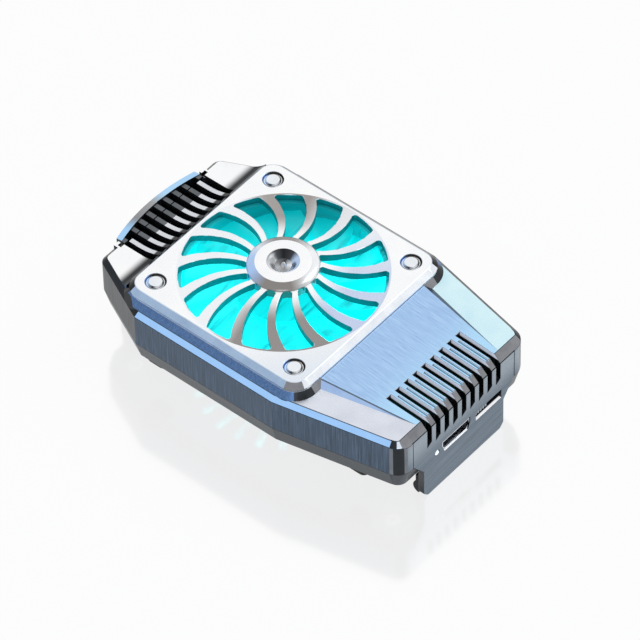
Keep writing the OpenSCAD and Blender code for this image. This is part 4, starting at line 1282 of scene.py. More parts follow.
@dataclass
class Shell:
    """The two-part shell with its port end, pads and screws. Sizes in mm.

    Args:
        deck_z: height of the deck.
        edge_z: height of the walls' upper edge.
        part_z: height where shell and cover meet.
        rail_z: height of what is left of the port end below its openings, and above them.
        ramp_x0: where the ramp starts.
        ramp_x1: where it ends, level with the deck.
        ramp_slope: how far it falls for each mm along X.
        ramp_hw: half its width, flanks included.
        ramp_skin: faces at most this far below the ramp are part of it.
        groove_skin: faces at most this far below it are the grooves along its ribs.
        shoulder_skin: faces at most this far below the deck are part of the shoulder.
        edge_room: a softened edge lies at most this far from the line that it softens.
        comb_x: where the comb's fins start.
        comb_reach: how far past that its faces go.
        gap_hw: half the comb's width.
        fin_depth: the fins' tops lie at most this far below the walls' edge.
        flat_x: where the fins' flat ends start.
        outer_fin: half the width between the two outermost fins.
        wide_x0: where the walls stop tapering.
        taper_reach: how far before that the dark corner facets end.
        taper_lip: how far past the comb's start the dark rim of the tapered end goes.
        corner_x: where the facets of the port end's corners start.
        corner_turn: its corner faces are dark up to the one that looks this squarely along X.
        end_x: where the port end's face lies.
        corner_reach: how far before it the narrow corner faces start.
        slot_hw: half the width over all the ramp's slots.
        slot_x: where the slots' edges start.
        fan_r: radius of what shows through the fan.
        sill_up: how squarely the openings' sills in the cover look up, at the least.
        foot_z: softened edges below this are the cover's lower ones.
        cover_y: past this, on either side, lie the cover's outer walls.
        cover_x0: before this lies its tapered end's wall.
        cover_x1: past this lies its wall at the port end.
        screw_xy: the screws' axes, on the side of +Y.
        head_z: height of the screws' heads.
        cross_l: length of the cross recess in a head.
        cross_w: width of its arms.
        cross_d: its depth.
    """

    deck_z: float = 11.6
    edge_z: float = 10.6
    part_z: float = 3.7
    rail_z: float = 0.5
    ramp_x0: float = 20.3
    ramp_x1: float = 39.52
    ramp_slope: float = 0.0608
    ramp_hw: float = 14.2
    ramp_skin: float = 0.12
    groove_skin: float = 0.4
    shoulder_skin: float = 0.4
    edge_room: float = 0.3
    comb_x: float = -20.4
    comb_reach: float = 0.7
    gap_hw: float = 11.0
    fin_depth: float = 0.6
    flat_x: float = -25.7
    outer_fin: float = 8.5
    wide_x0: float = -15.6
    taper_reach: float = 0.8
    taper_lip: float = 1.0
    corner_x: float = 36.0
    corner_turn: float = 0.85
    end_x: float = 39.65
    corner_reach: float = 1.8
    slot_hw: float = 11.8
    slot_x: float = 30.0
    fan_r: float = 20.3
    sill_up: float = 0.7
    foot_z: float = 1.2
    cover_y: float = 14.0
    cover_x0: float = -26.0
    cover_x1: float = 38.0
    screw_xy: tuple[tuple[float, float], ...] = ((-23.4, 14.6), (36.0, 13.6))
    head_z: float = 0.2
    cross_l: float = 1.5
    cross_w: float = 0.35
    cross_d: float = 0.5

    def sort_upper(self, at: Vector, normal: Vector, rounded: bool) -> Finish:
        """Names the finish of a face of the upper shell.

        Args:
            at: the face's middle, in mm.
            normal: the way it looks.
            rounded: whether it belongs to a softened edge.

        Returns:
            The finish.
        """
        if rounded and not self.plain_edge(at, normal):
            return self.sort_edge(at)
        if normal.z < -SLANTED:
            return SHELL_INNER
        if self.in_comb(at, CLOSE):
            lit = normal.z > LEANING and at.z > self.edge_z - self.fin_depth
            blunt = at.x < self.flat_x and abs(at.y) < self.outer_fin
            return (FIN_FLAT if blunt else FIN_TOP) if lit else SHELL_INNER
        if at.z < self.edge_z - NEAR and normal.z > LEANING:
            return SHELL_INNER
        if self.on_ramp(at):
            return self.sort_ramp(at, normal)
        if at.z > self.deck_z + CLOSE:
            return self.sort_raised(at, normal)
        if normal.z > STRAIGHT:
            if at.x > self.comb_x:
                # The deck's far half gets the paler copy, painted light.
                return SHELL_DECK_FAR if at.y > 0 else SHELL_DECK
            return SHELL_INNER if at.z < self.deck_z - self.shoulder_skin else SHELL_SHOULDER
        if normal.z > SLANTED:
            return self.sort_chamfer(at, normal)
        return self.sort_wall(at, normal)

    def in_comb(self, at: Vector, slack: float) -> bool:
        """Tells whether a place is in the comb or at most the slack beside it."""
        return at.x < self.comb_x + self.comb_reach and abs(at.y) < self.gap_hw + slack

    def on_ramp(self, at: Vector) -> bool:
        """Tells whether a place is on the ramp or in the slots below it."""
        return abs(at.y) < self.ramp_hw and at.x > self.ramp_x0

    def plain_edge(self, at: Vector, normal: Vector) -> bool:
        """Tells where the upper shell's softened edges keep the faces' own finish.

        Args:
            at: the face's middle, in mm.
            normal: the way it looks.

        Returns:
            True in the comb, in the slots, low on the walls and on the tapered end.
        """
        slots = at.x > self.slot_x and abs(at.y) < self.slot_hw + NEAR and normal.z < LEVEL
        low = at.z < self.edge_z - self.edge_room
        return self.in_comb(at, self.edge_room) or slots or low or at.x < self.wide_x0

    def sort_edge(self, at: Vector) -> Finish:
        """Names the finish of a softened edge: a dim line in the slots, a seam low down, else a
        bright painted highlight.
        """
        if self.on_ramp(at) and abs(at.y) < self.slot_hw:
            return DARK_EDGE
        low = at.z < self.deck_z + self.edge_room
        return SHELL_SEAM if low or self.on_ramp(at) else SHELL_EDGE

    def sort_ramp(self, at: Vector, normal: Vector) -> Finish:
        """Names the finish of a face of the ramp or of the slots in it.

        Args:
            at: the face's middle, in mm.
            normal: the way it looks.

        Returns:
            The finish.
        """
        if normal.z > LEVEL:
            depth = self.deck_z + (self.ramp_x1 - at.x) * self.ramp_slope - at.z
            if depth < self.ramp_skin:
                return SHELL_RAMP
            return RIB_GROOVE if depth < self.groove_skin else SHELL_INNER
        if normal.z > CHAMFERED:
            if normal.x > CHAMFERED:
                return SHELL_CHAMFER
            # The near flank gets the light-blue painted reflection, the far one the dark.
            return SHELL_FLANK if at.y < 0 else SHELL_FLANK_FAR
        if at.x > self.end_x and normal.x > SQUARE:
            return END_FACE
        return SLOT_WALL if at.z > self.part_z and normal.y < -LEANING else SHELL_INNER

    def sort_raised(self, at: Vector, normal: Vector) -> Finish:
        """Names the finish of a face above the deck: shoulder, raised wall or its top.

        Args:
            at: the face's middle, in mm.
            normal: the way it looks.

        Returns:
            The finish.
        """
        if at.x < self.comb_x - NEAR and normal.z > SLIGHT:
            return SHELL_SHOULDER
        if abs(normal.x) > LEANING:
            return SHELL_WALL_END
        return SHELL_WALL if abs(normal.y) > SLIGHT else SHELL_DECK

    def sort_chamfer(self, at: Vector, normal: Vector) -> Finish:
        """Names the finish of a sloped face between the deck and the walls.

        Args:
            at: the face's middle, in mm.
            normal: the way it looks.

        Returns:
            The finish.
        """
        near = at.y < 0
        if at.x < self.wide_x0 - self.taper_reach:
            return SHELL_CORNER
        # At the port end's corners the near chamfer facet gets a painted highlight and the others a
        # painted dark reflection.
        if at.x > self.corner_x and min(abs(normal.y), normal.x) > BARELY:
            return SHELL_EDGE if normal.x > CHAMFERED and near else SHELL_CORNER
        # The near chamfer strip gets the light-blue painted reflection, the far one the dark facet
        # tone.
        if abs(normal.y) > LEANING:
            return SHELL_STRIP if near else SHELL_CORNER
        return SHELL_CHAMFER

    def sort_wall(self, at: Vector, normal: Vector) -> Finish:
        """Names the finish of an upright face: comb, corner, port end, taper or side.

        Args:
            at: the face's middle, in mm.
            normal: the way it looks.

        Returns:
            The finish.
        """
        if at.x < self.comb_x and abs(at.y) < self.gap_hw + NEAR:
            return SHELL_INNER
        if at.z > self.edge_z and at.x < self.comb_x + self.taper_lip:
            return SHELL_CORNER
        if at.x > self.end_x - self.corner_reach and CHAMFERED < normal.x < LEVEL:
            return SHELL_CORNER if normal.x < self.corner_turn else SHELL_GREY
        if at.x > self.end_x and normal.x > SQUARE:
            return END_FACE
        if at.x > self.end_x - self.corner_reach and normal.x > SLIGHT:
            return SHELL_GREY
        return SHELL_TAPER if at.x < self.wide_x0 else SHELL_SIDE

    def build(self) -> None:
        """Builds the shell's pieces."""
        Dressing(
            "upper_shell",
            "housing",
            "shell",
            (
                SHELL_SIDE,
                SHELL_TAPER,
                SHELL_CORNER,
                SHELL_DECK,
                SHELL_DECK_FAR,
                SHELL_SHOULDER,
                SHELL_RAMP,
                SHELL_FLANK,
                SHELL_FLANK_FAR,
                SHELL_STRIP,
                SHELL_WALL,
                SHELL_WALL_END,
                SHELL_CHAMFER,
                SHELL_INNER,
                FIN_TOP,
                FIN_FLAT,
                SLOT_WALL,
                END_FACE,
                SHELL_EDGE,
                DARK_EDGE,
                RIB_GROOVE,
                SHELL_GREY,
                SHELL_SEAM,
            ),
            sort=self.sort_upper,
            width_mm=0.075,
            flat_mm2=30.0,
        ).build()
        Dressing(
            "lower_cover",
            "housing",
            "cover",
            (COVER_SIDE, COVER_FLOOR, SHELL_INNER, GLOW_FLOOR, DARK_EDGE, SLOT_FLOOR),
            sort=self.sort_lower,
            width_mm=0.09,
        ).build()
        Dressing(
            "end_plate",
            "housing",
            "cover",
            (END_FACE, SHELL_CORNER, DARK_EDGE, SLOT_FLOOR),
            sort=self.sort_end,
            width_mm=0.1,
        ).build()
        Dressing(
            "contact_pads", "housing", "black_rubber", (BLACK_RUBBER,), width_mm=0.2, segments=3
        ).build()
        Dressing(
            "cover_screws", "housing", "chromed", (STEEL,), width_mm=0.12, cutter=self.crosses()
        ).build()

    def crosses(self) -> bpy.types.Object:
        """Makes the shape of the cross recesses in the four screws' heads.

        Returns:
            The shape, which is carved out of the heads.
        """
        bm = bmesh.new()
        long, wide = self.cross_l / 2, self.cross_w / 2
        quarter = ((long, -wide), (long, wide), (wide, wide))
        outline = [
            Matrix.Rotation(turn * math.pi / 2, 2) @ Vector(corner)
            for turn in range(4)
            for corner in quarter
        ]
        low, high = self.head_z - self.cross_d, self.head_z + self.cross_d
        for x, y in self.screw_xy:
            for centre in (Vector((x, y)), Vector((x, -y))):
                rings = [
                    [bm.verts.new(Vector((*(centre + at), z)) * MM) for at in outline]
                    for z in (low, high)
                ]
                bm.faces.new(reversed(rings[0]))
                bm.faces.new(rings[1])
                for index in range(len(outline)):
                    after = (index + 1) % len(outline)
                    bm.faces.new(
                        (rings[0][index], rings[0][after], rings[1][after], rings[1][index])
                    )
        mesh = bpy.data.meshes.new("crosses")
        bm.to_mesh(mesh)
        bm.free()
        return new_piece("crosses", mesh)

    def sort_end(self, at: Vector, normal: Vector, rounded: bool) -> Finish:
        """Names the finish of a face of the port plate.

        Args:
            at: the face's middle, in mm.
            normal: the way it looks.
            rounded: whether it belongs to a softened edge.

        Returns:
            The finish.
        """
        if normal.z > LEANING and self.rail_z < at.z < self.part_z - self.rail_z:
            return SLOT_FLOOR
        if rounded and at.z < 0:
            return DARK_EDGE
        return END_FACE if normal.x > LEANING else SHELL_CORNER

    def sort_lower(self, at: Vector, normal: Vector, rounded: bool) -> Finish:
        """Names the finish of a face of the lower cover.

        Args:
            at: the face's middle, in mm.
            normal: the way it looks.
            rounded: whether it belongs to a softened edge.

        Returns:
            The finish.
        """
        in_end = at.x > self.end_x - self.corner_reach and at.z < self.part_z - self.rail_z
        if in_end and normal.z > self.sill_up:
            return SLOT_FLOOR
        if rounded and at.z < self.foot_z:
            return DARK_EDGE
        if normal.z < -STRAIGHT and at.z < NEAR:
            return COVER_FLOOR
        outward = normal.x * at.x + normal.y * at.y > 0
        outside = abs(at.y) > self.cover_y or not self.cover_x0 < at.x < self.cover_x1
        if outward and outside and normal.z < LEANING:
            return COVER_SIDE
        return GLOW_FLOOR if math.hypot(at.x, at.y) < self.fan_r else SHELL_INNER


@dataclass
class Grille:
    """The grille plate with its vanes and hub, and the four pins that hold it. Sizes in mm.

    Args:
        top_z: height of the plate's top.
        half: half the width of the plate's top.
        foot: how far the bevels go out past that, and down below the top.
        hub_r: radius of the hub.
        bowl_r: radius of the dished middle.
        knob_r: radius of the knob in it.
        window_r: radius of the windows' outer walls.
        rise_r: radius where the vanes start to rise.
        pin_xy: how far the pins' axes lie from the middle, along X and along Y.
        ring_r: radius of the ring round a pin.
        flat_top: how squarely the hub's and the plate's level faces look up.
        cone_top: how squarely the vanes' cone does, at the least.
        grey_x: the grey bevels look at least this squarely along +X,
        grey_y: and at least this squarely along -Y.
        turned: bevels past this squareness are dark towards -X or +Y and white towards +X.
    """

    top_z: float = 14.3
    half: float = 19.35
    foot: float = 0.5
    hub_r: float = 6.6
    bowl_r: float = 3.1
    knob_r: float = 1.05
    window_r: float = 18.95
    rise_r: float = 18.7
    pin_xy: float = 16.0
    ring_r: float = 2.1
    flat_top: float = 0.996
    cone_top: float = 0.98
    grey_x: float = 0.1
    grey_y: float = 0.25
    turned: float = 0.35

    def sort_plate(self, at: Vector, normal: Vector, rounded: bool) -> Finish:
        """Names the finish of a face of the grille plate.

        Args:
            at: the face's middle, in mm.
            normal: the way it looks.
            rounded: whether it belongs to a softened edge.

        Returns:
            The finish.
        """
        high = at.z > self.top_z + NEAR
        if rounded and at.z > self.top_z - self.foot:
            return SHELL_EDGE if at.z < self.top_z + NEAR else PLATE_TOP
        outer = max(abs(at.x), abs(at.y)) > self.half + self.foot
        if rounded and outer:
            return DARK_EDGE
        radius = math.hypot(at.x, at.y)
        if radius < self.hub_r + CLOSE and normal.z > -SLIGHT and high:
            return self.sort_hub(radius, normal)
        if math.hypot(abs(at.x) - self.pin_xy, abs(at.y) - self.pin_xy) < self.ring_r:
            level = normal.z >= STRAIGHT and at.z >= self.top_z - NEAR
            return PLATE_TOP if level else PIN_RING
        if normal.z > STRAIGHT:
            return PLATE_TOP
        return VANE_WALL if radius < self.window_r else self.sort_bevel(normal)

    def sort_hub(self, radius: float, normal: Vector) -> Finish:
        """Names the finish of a face of the hub: knob, bowl, flat ring or band.

        Args:
            radius: how far the face's middle lies from the fan's axis, in mm.
            normal: the way the face looks.

        Returns:
            The finish.
        """
        if radius < self.knob_r:
            return HUB_KNOB
        level = normal.z > self.flat_top
        if radius < self.bowl_r and not level:
            return HUB_BOWL
        return PLATE_TOP if level else HUB_BAND

    def sort_bevel(self, normal: Vector) -> Finish:
        """Names the finish of one of the plate's bevels by the way it faces: each gets a painted
        reflection of one part of the room.

        Args:
            normal: the way the bevel looks.

        Returns:
            The finish.
        """
        if normal.x > self.grey_x and normal.y < -self.grey_y:
            return SHELL_CHAMFER
        if normal.x < -self.turned or normal.y > self.turned:
            return PLATE_BEVEL_DARK
        if normal.x > self.turned and normal.y > -CHAMFERED:
            return PLATE_BEVEL_WHITE
        return PLATE_BEVEL

    def build(self) -> None:
        """Builds the grille's pieces."""
        Dressing(
            "grille_plate",
            "housing",
            "grille",
            (
                PLATE_TOP,
                PLATE_BEVEL,
                PLATE_BEVEL_DARK,
                PLATE_BEVEL_WHITE,
                VANE_WALL,
                HUB_BAND,
                HUB_BOWL,
                HUB_KNOB,
                PIN_RING,
                SHELL_EDGE,
                DARK_EDGE,
                SHELL_CHAMFER,
            ),
            sort=self.sort_plate,
            width_mm=0.09,
            region=self.on_vane,
        ).build()
        Dressing(
            "grille_pins",
            "housing",
            "chromed",
            (PIN_SKIN, PIN_RING),
            sort=self.sort_pins,
            width_mm=0.3,
            segments=3,
        ).build()

    def on_vane(self, at: Vector, normal: Vector) -> bool:
        """Tells whether a face is part of the cone on which the vanes' tops lie.

        Args:
            at: the face's middle, in mm.
            normal: the way it looks.

        Returns:
            True for a face that rises with the cone, between the hub and the rim.
        """
        on_cone = self.cone_top < normal.z < self.flat_top and at.z > self.top_z - CLOSE
        return on_cone and self.hub_r < math.hypot(at.x, at.y) < self.rise_r + CLOSE

    def sort_pins(self, at: Vector, normal: Vector, rounded: bool) -> Finish:
        """Names the finish of a face of a pin: its level top's, or its rim's."""
        return PIN_SKIN if normal.z > LEVEL else PIN_RING


@dataclass
class LightRing:
    """The ring board under the grille and the lights on it."""

    def build(self) -> None:
        """Builds the ring's pieces."""
        Dressing("light_board", "housing", "white_board", (RING_BOARD,), width_mm=0.08).build()
        Dressing("lights", "housing", "light", (LAMP_LENS,), width_mm=0.15, segments=3).build()


@dataclass
class Fan:
    """The axial fan: frame, rotor and motor."""

    def build(self) -> None:
        """Builds the fan's pieces."""
        for node, body, slot, finish, width in (
            ("fan_frame", "housing", "fan", FRAME_PLASTIC, 0.2),
            ("fan_rotor", "rotor", "fan", ROTOR_PLASTIC, 0.15),
            ("rotor_yoke", "rotor", "steel", STEEL, 0.05),
            ("rotor_magnet", "rotor", "ferrite", FERRITE, 0.08),
            ("rotor_shaft", "rotor", "steel", STEEL, 0.08),
            ("shaft_clip", "rotor", "black_plastic", BLACK_PLASTIC, 0.04),
            ("bearing_sleeve", "housing", "bronze", BRONZE, 0.08),
            ("stator_core", "housing", "steel", LAMINATION, 0.05),
            ("motor_board", "housing", "green_board", GREEN_BOARD, 0.05),
            ("stator_coils", "housing", "copper", COPPER, 0.3),
        ):
            Dressing(node, body, slot, (finish,), width_mm=width, segments=2).build()


@dataclass
class Electronics:
    """The circuit board and what shows in the port end. Sizes in mm.

    Args:
        knob_x0: where the switch's knob starts.
        knob_x1: where its ribs end.
        rib_x: where the grooves between its ribs end.
        knob_y0: its near side.
        knob_y1: its far side.
        knob_z0: its underside.
        knob_z1: its top.
        ribs: how many ribs it has.
        rib_share: the share of a rib's pitch that the rib itself takes.
        draft_share: the share of it that each sloped side takes.
        edge_mm: width of its softened upper edges.
    """

    knob_x0: float = 35.75
    knob_x1: float = 40.85
    rib_x: float = 40.5
    knob_y0: float = 3.4
    knob_y1: float = 6.8
    knob_z0: float = 2.12
    knob_z1: float = 2.84
    ribs: int = 5
    rib_share: float = 0.5
    draft_share: float = 0.1
    edge_mm: float = 0.05

    def build(self) -> None:
        """Builds the board, socket, switch and charge light."""
        for node, body, slot, finish, width in (
            ("circuit_board", "housing", "green_board", GREEN_BOARD, 0.05),
            ("board_parts", "housing", "black_plastic", BLACK_PLASTIC, 0.15),
            ("usb_socket", "housing", "steel", NICKEL, 0.08),
            ("switch_body", "housing", "black_plastic", BLACK_PLASTIC, 0.08),
            ("charge_light", "housing", "light_pipe", LIGHT_PIPE, 0.08),
        ):
            Dressing(node, body, slot, (finish,), width_mm=width).build()
        self.knob()

    def knob(self) -> bpy.types.Object:
        """Builds the slide switch's knob: a block whose front is ribbed for the finger.

        Returns:
            The knob.
        """
        pitch = (self.knob_y1 - self.knob_y0) / self.ribs
        foot = self.rib_share + self.draft_share
        front = [(self.knob_x1, self.knob_y0)]
        for rib in range(self.ribs):
            y = self.knob_y0 + rib * pitch
            front += [(self.knob_x1, y + pitch * self.rib_share), (self.rib_x, y + pitch * foot)]
            if rib < self.ribs - 1:
                after = y + pitch * (1 - self.draft_share)
                front += [(self.rib_x, after), (self.knob_x1, y + pitch)]
        front += [(self.rib_x, self.knob_y1)]
        outline = [(self.knob_x0, self.knob_y1), (self.knob_x0, self.knob_y0), *front]
        bm = bmesh.new()
        base = bm.faces.new([bm.verts.new(Vector((x, y, self.knob_z0)) * MM) for x, y in outline])
        grown = bmesh.ops.extrude_face_region(bm, geom=[base])["geom"]
        top = [item for item in grown if isinstance(item, bmesh.types.BMVert)]
        bmesh.ops.translate(bm, verts=top, vec=(0, 0, (self.knob_z1 - self.knob_z0) * MM))
        bmesh.ops.recalc_face_normals(bm, faces=bm.faces)
        upper = [edge for edge in bm.edges if all(vert in top for vert in edge.verts)]
        bmesh.ops.bevel(
            bm,
            geom=upper,
            offset=self.edge_mm * MM,
            segments=2,
            profile=0.5,
            affect="EDGES",
            clamp_overlap=True,
        )
        mesh = bpy.data.meshes.new("switch_knob")
        bm.to_mesh(mesh)
        bm.free()
        mesh.materials.append(material_of(KNOB_PLASTIC))
        return mount(new_piece("switch_knob_skin", mesh), "knob", "knob", "switch_knob")


@dataclass
class Clamp:
    """The sliding jaw, both rubber grips and the two springs. Sizes in mm.

    Args:
        top_z: height above which a face that looks up is the jaw's top.
        flat_z: height below which that top is its ribs' flat ends.
        plate_x: where the bowed plate starts.
        rib_depth: how far past that its ribs' flat ends go.
        lip: how far its outer face comes back over the start.
        tongue_z0: underside of the space round the tongue.
        tongue_z1: top of that space.
        side_y: half the width past which a side face is on the outside.
        spring_x0: where the springs hang on the jaw at rest.
        spring_x1: where they hang on their posts.
        spring_y: how far their axes lie from the middle.
        spring_z: height of their axes.
        spring_r: their outer radius.
        wire: their wire's diameter.
        turns: how many turns each has.
        lead: length of the straight lead at each end.
    """

    top_z: float = 10.5
    flat_z: float = 11.38
    plate_x: float = -28.7
    rib_depth: float = 0.5
    lip: float = 0.2
    tongue_z0: float = 1.3
    tongue_z1: float = 3.9
    side_y: float = 10.0
    spring_x0: float = -3.85
    spring_x1: float = 21.0
    spring_y: float = 11.9
    spring_z: float = 2.6
    spring_r: float = 1.1
    wire: float = 0.45
    turns: int = 20
    lead: float = 0.6

    def sort_jaw(self, at: Vector, normal: Vector, rounded: bool) -> Finish:
        """Names the finish of a face of the sliding jaw.

        Args:
            at: the face's middle, in mm.
            normal: the way it looks.
            rounded: whether it belongs to a softened edge.

        Returns:
            The finish.
        """
        if self.tongue_z0 < at.z < self.tongue_z1 and at.x > self.plate_x:
            return SHELL_INNER
        if normal.z > LEANING:
            if at.z < self.top_z:
                return SHELL_INNER
            ends = at.z < self.flat_z or at.x > self.plate_x - self.rib_depth
            return FIN_FLAT if ends else JAW_TOP
        front = normal.x < -LEANING and at.x < self.plate_x + self.lip
        side = abs(normal.y) > LEANING and abs(at.y) > self.side_y
        return SHELL_TAPER if front or side or at.z <= 0 else SHELL_INNER

    def build(self) -> None:
        """Builds the clamp's pieces."""
        Dressing(
            "sliding_jaw",
            "jaw",
            "shell",
            (SHELL_TAPER, JAW_TOP, SHELL_INNER, FIN_FLAT),
            sort=self.sort_jaw,
            width_mm=0.08,
        ).build()
        for node, body in (("sliding_jaw_grip", "jaw"), ("fixed_jaw_grip", "housing")):
            Dressing(node, body, "black_rubber", (BLACK_RUBBER,), width_mm=0.2, segments=3).build()
        for name, side in (("left_spring", 1), ("right_spring", -1)):
            self.spring(name, side)

    def spring(self, name: str, side: int) -> bpy.types.Object:
        """Winds one spring, which stretches between the jaw and its post.

        Args:
            name: the CAD node that the spring replaces.
            side: 1 for the spring at +Y and -1 for the other.

        Returns:
            The spring.
        """
        piece = new_piece(f"{name}_wire", bpy.data.meshes.new(name))
        winding = SpringTree().make()
        modifier = piece.modifiers.new("winding", "NODES")
        modifier.node_group = winding
        values = {
            "Length": (self.spring_x1 - self.spring_x0) * MM,
            "Radius": (self.spring_r - self.wire / 2) * MM,
            "Wire": self.wire / 2 * MM,
            "Turns": float(self.turns),
            "Lead": self.lead * MM,
            "Side": float(side),
        }
        for item in winding.interface.items_tree:
            if item.item_type == "SOCKET" and item.in_out == "INPUT" and item.name in values:
                modifier[item.identifier] = values[item.name]
        settle(piece)
        piece.data.transform(
            Matrix.Translation(
                Vector((self.spring_x0, side * self.spring_y, self.spring_z)) * MM
            )
        )
        piece.data.materials.clear()
        piece.data.materials.append(material_of(STEEL))
        for face in piece.data.polygons:
            face.use_smooth = True
        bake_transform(piece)
        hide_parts(name)
        log.info("%s: %d faces", piece.name, len(piece.data.polygons))
        return piece


@dataclass
class SpringTree:
    """A node tree that winds a wire into a coil, closing onto its axis at both ends.

    Args:
        name: the tree's name.
        steps_a_turn: points along the wire in one turn.
        sides: faces round the wire.
        tip: shares of the wire's length at each end that sit right on the ear or the post.
    """

    name: str = "coil_of_wire"
    steps_a_turn: int = 20
    sides: int = 8
    tip: float = 1e-6

    def make(self) -> bpy.types.NodeTree:
        """Builds the tree, or returns it where it is already made.

        Returns:
            The tree.
        """
        found = bpy.data.node_groups.get(self.name)
        if found:
            return found
        tree = bpy.data.node_groups.new(self.name, "GeometryNodeTree")
        tree.interface.new_socket("Geometry", in_out="OUTPUT", socket_type="NodeSocketGeometry")
        for socket in ("Length", "Radius", "Wire", "Turns", "Lead", "Side"):
            tree.interface.new_socket(socket, in_out="INPUT", socket_type="NodeSocketFloat")
        given = add(tree, "NodeGroupInput").outputs

        def math_node(
            operation: str, a: object, b: object = 0.0, c: object = 0.0
        ) -> bpy.types.NodeSocket:
            """Adds a math node.

            Args:
                operation: what it does.
                a: its first value or link.
                b: its second.
                c: its third.

            Returns:
                Its result.
            """
            node = add(tree, "ShaderNodeMath", {"operation": operation}, {0: a, 1: b, 2: c})
            return node.outputs[0]

        count = math_node("MULTIPLY", given["Turns"], float(self.steps_a_turn))
        line = add(tree, "GeometryNodeMeshLine", {"mode": "OFFSET"}, {"Count": count})
        curve = add(tree, "GeometryNodeMeshToCurve", inputs={0: line.outputs[0]})
        share = add(tree, "GeometryNodeSplineParameter").outputs["Factor"]
        turn = math_node("MULTIPLY", share, given["Turns"])
        angle = math_node("MULTIPLY", turn, math.tau)
        left = math_node("SUBTRACT", given["Turns"], turn)
        opening = math_node("MINIMUM", math_node("MINIMUM", turn, left), 1.0)
        radius = math_node("MULTIPLY", opening, given["Radius"])
        twice = math_node("MULTIPLY", given["Lead"], 2.0)
        wound = math_node("SUBTRACT", given["Length"], twice)
        along = math_node("MULTIPLY_ADD", share, wound, given["Lead"])
        first = add(
            tree, "FunctionNodeCompare", {"operation": "LESS_THAN"}, {0: share, 1: self.tip}
        )
        last = add(
            tree, "FunctionNodeCompare", {"operation": "GREATER_THAN"}, {0: share, 1: 1 - self.tip}
        )
        start = add(
            tree,
            "GeometryNodeSwitch",
            {"input_type": "FLOAT"},
            {0: first.outputs[0], "False": along, "True": 0.0},
        )
        place_x = add(
            tree,
            "GeometryNodeSwitch",
            {"input_type": "FLOAT"},
            {0: last.outputs[0], "False": start.outputs[0], "True": given["Length"]},
        )
        sideways = math_node("MULTIPLY", math_node("SINE", angle), radius)
        across = math_node("MULTIPLY", sideways, given["Side"])
        up = math_node("MULTIPLY", math_node("COSINE", angle), radius)
        place = add(
            tree,
            "ShaderNodeCombineXYZ",
            inputs={"X": place_x.outputs[0], "Y": across, "Z": up},
        )
        moved = add(
            tree,
            "GeometryNodeSetPosition",
            inputs={"Geometry": curve.outputs[0], "Position": place.outputs[0]},
        )
        profile = add(
            tree,
            "GeometryNodeCurvePrimitiveCircle",
            {"mode": "RADIUS"},
            {"Resolution": self.sides, "Radius": given["Wire"]},
        )
        tube = add(
            tree,
            "GeometryNodeCurveToMesh",
            inputs={
                "Curve": moved.outputs[0],
                "Profile Curve": profile.outputs[0],
                "Fill Caps": True,
            },
        )
        real = add(tree, "GeometryNodeRealizeInstances", inputs={0: tube.outputs[0]})
        dressed = add(
            tree,
            "GeometryNodeSetMaterial",
            inputs={"Geometry": real.outputs[0], "Material": material_of(STEEL)},
        )
        add(tree, "NodeGroupOutput", inputs={0: dressed.outputs[0]})
        return tree


# The studio


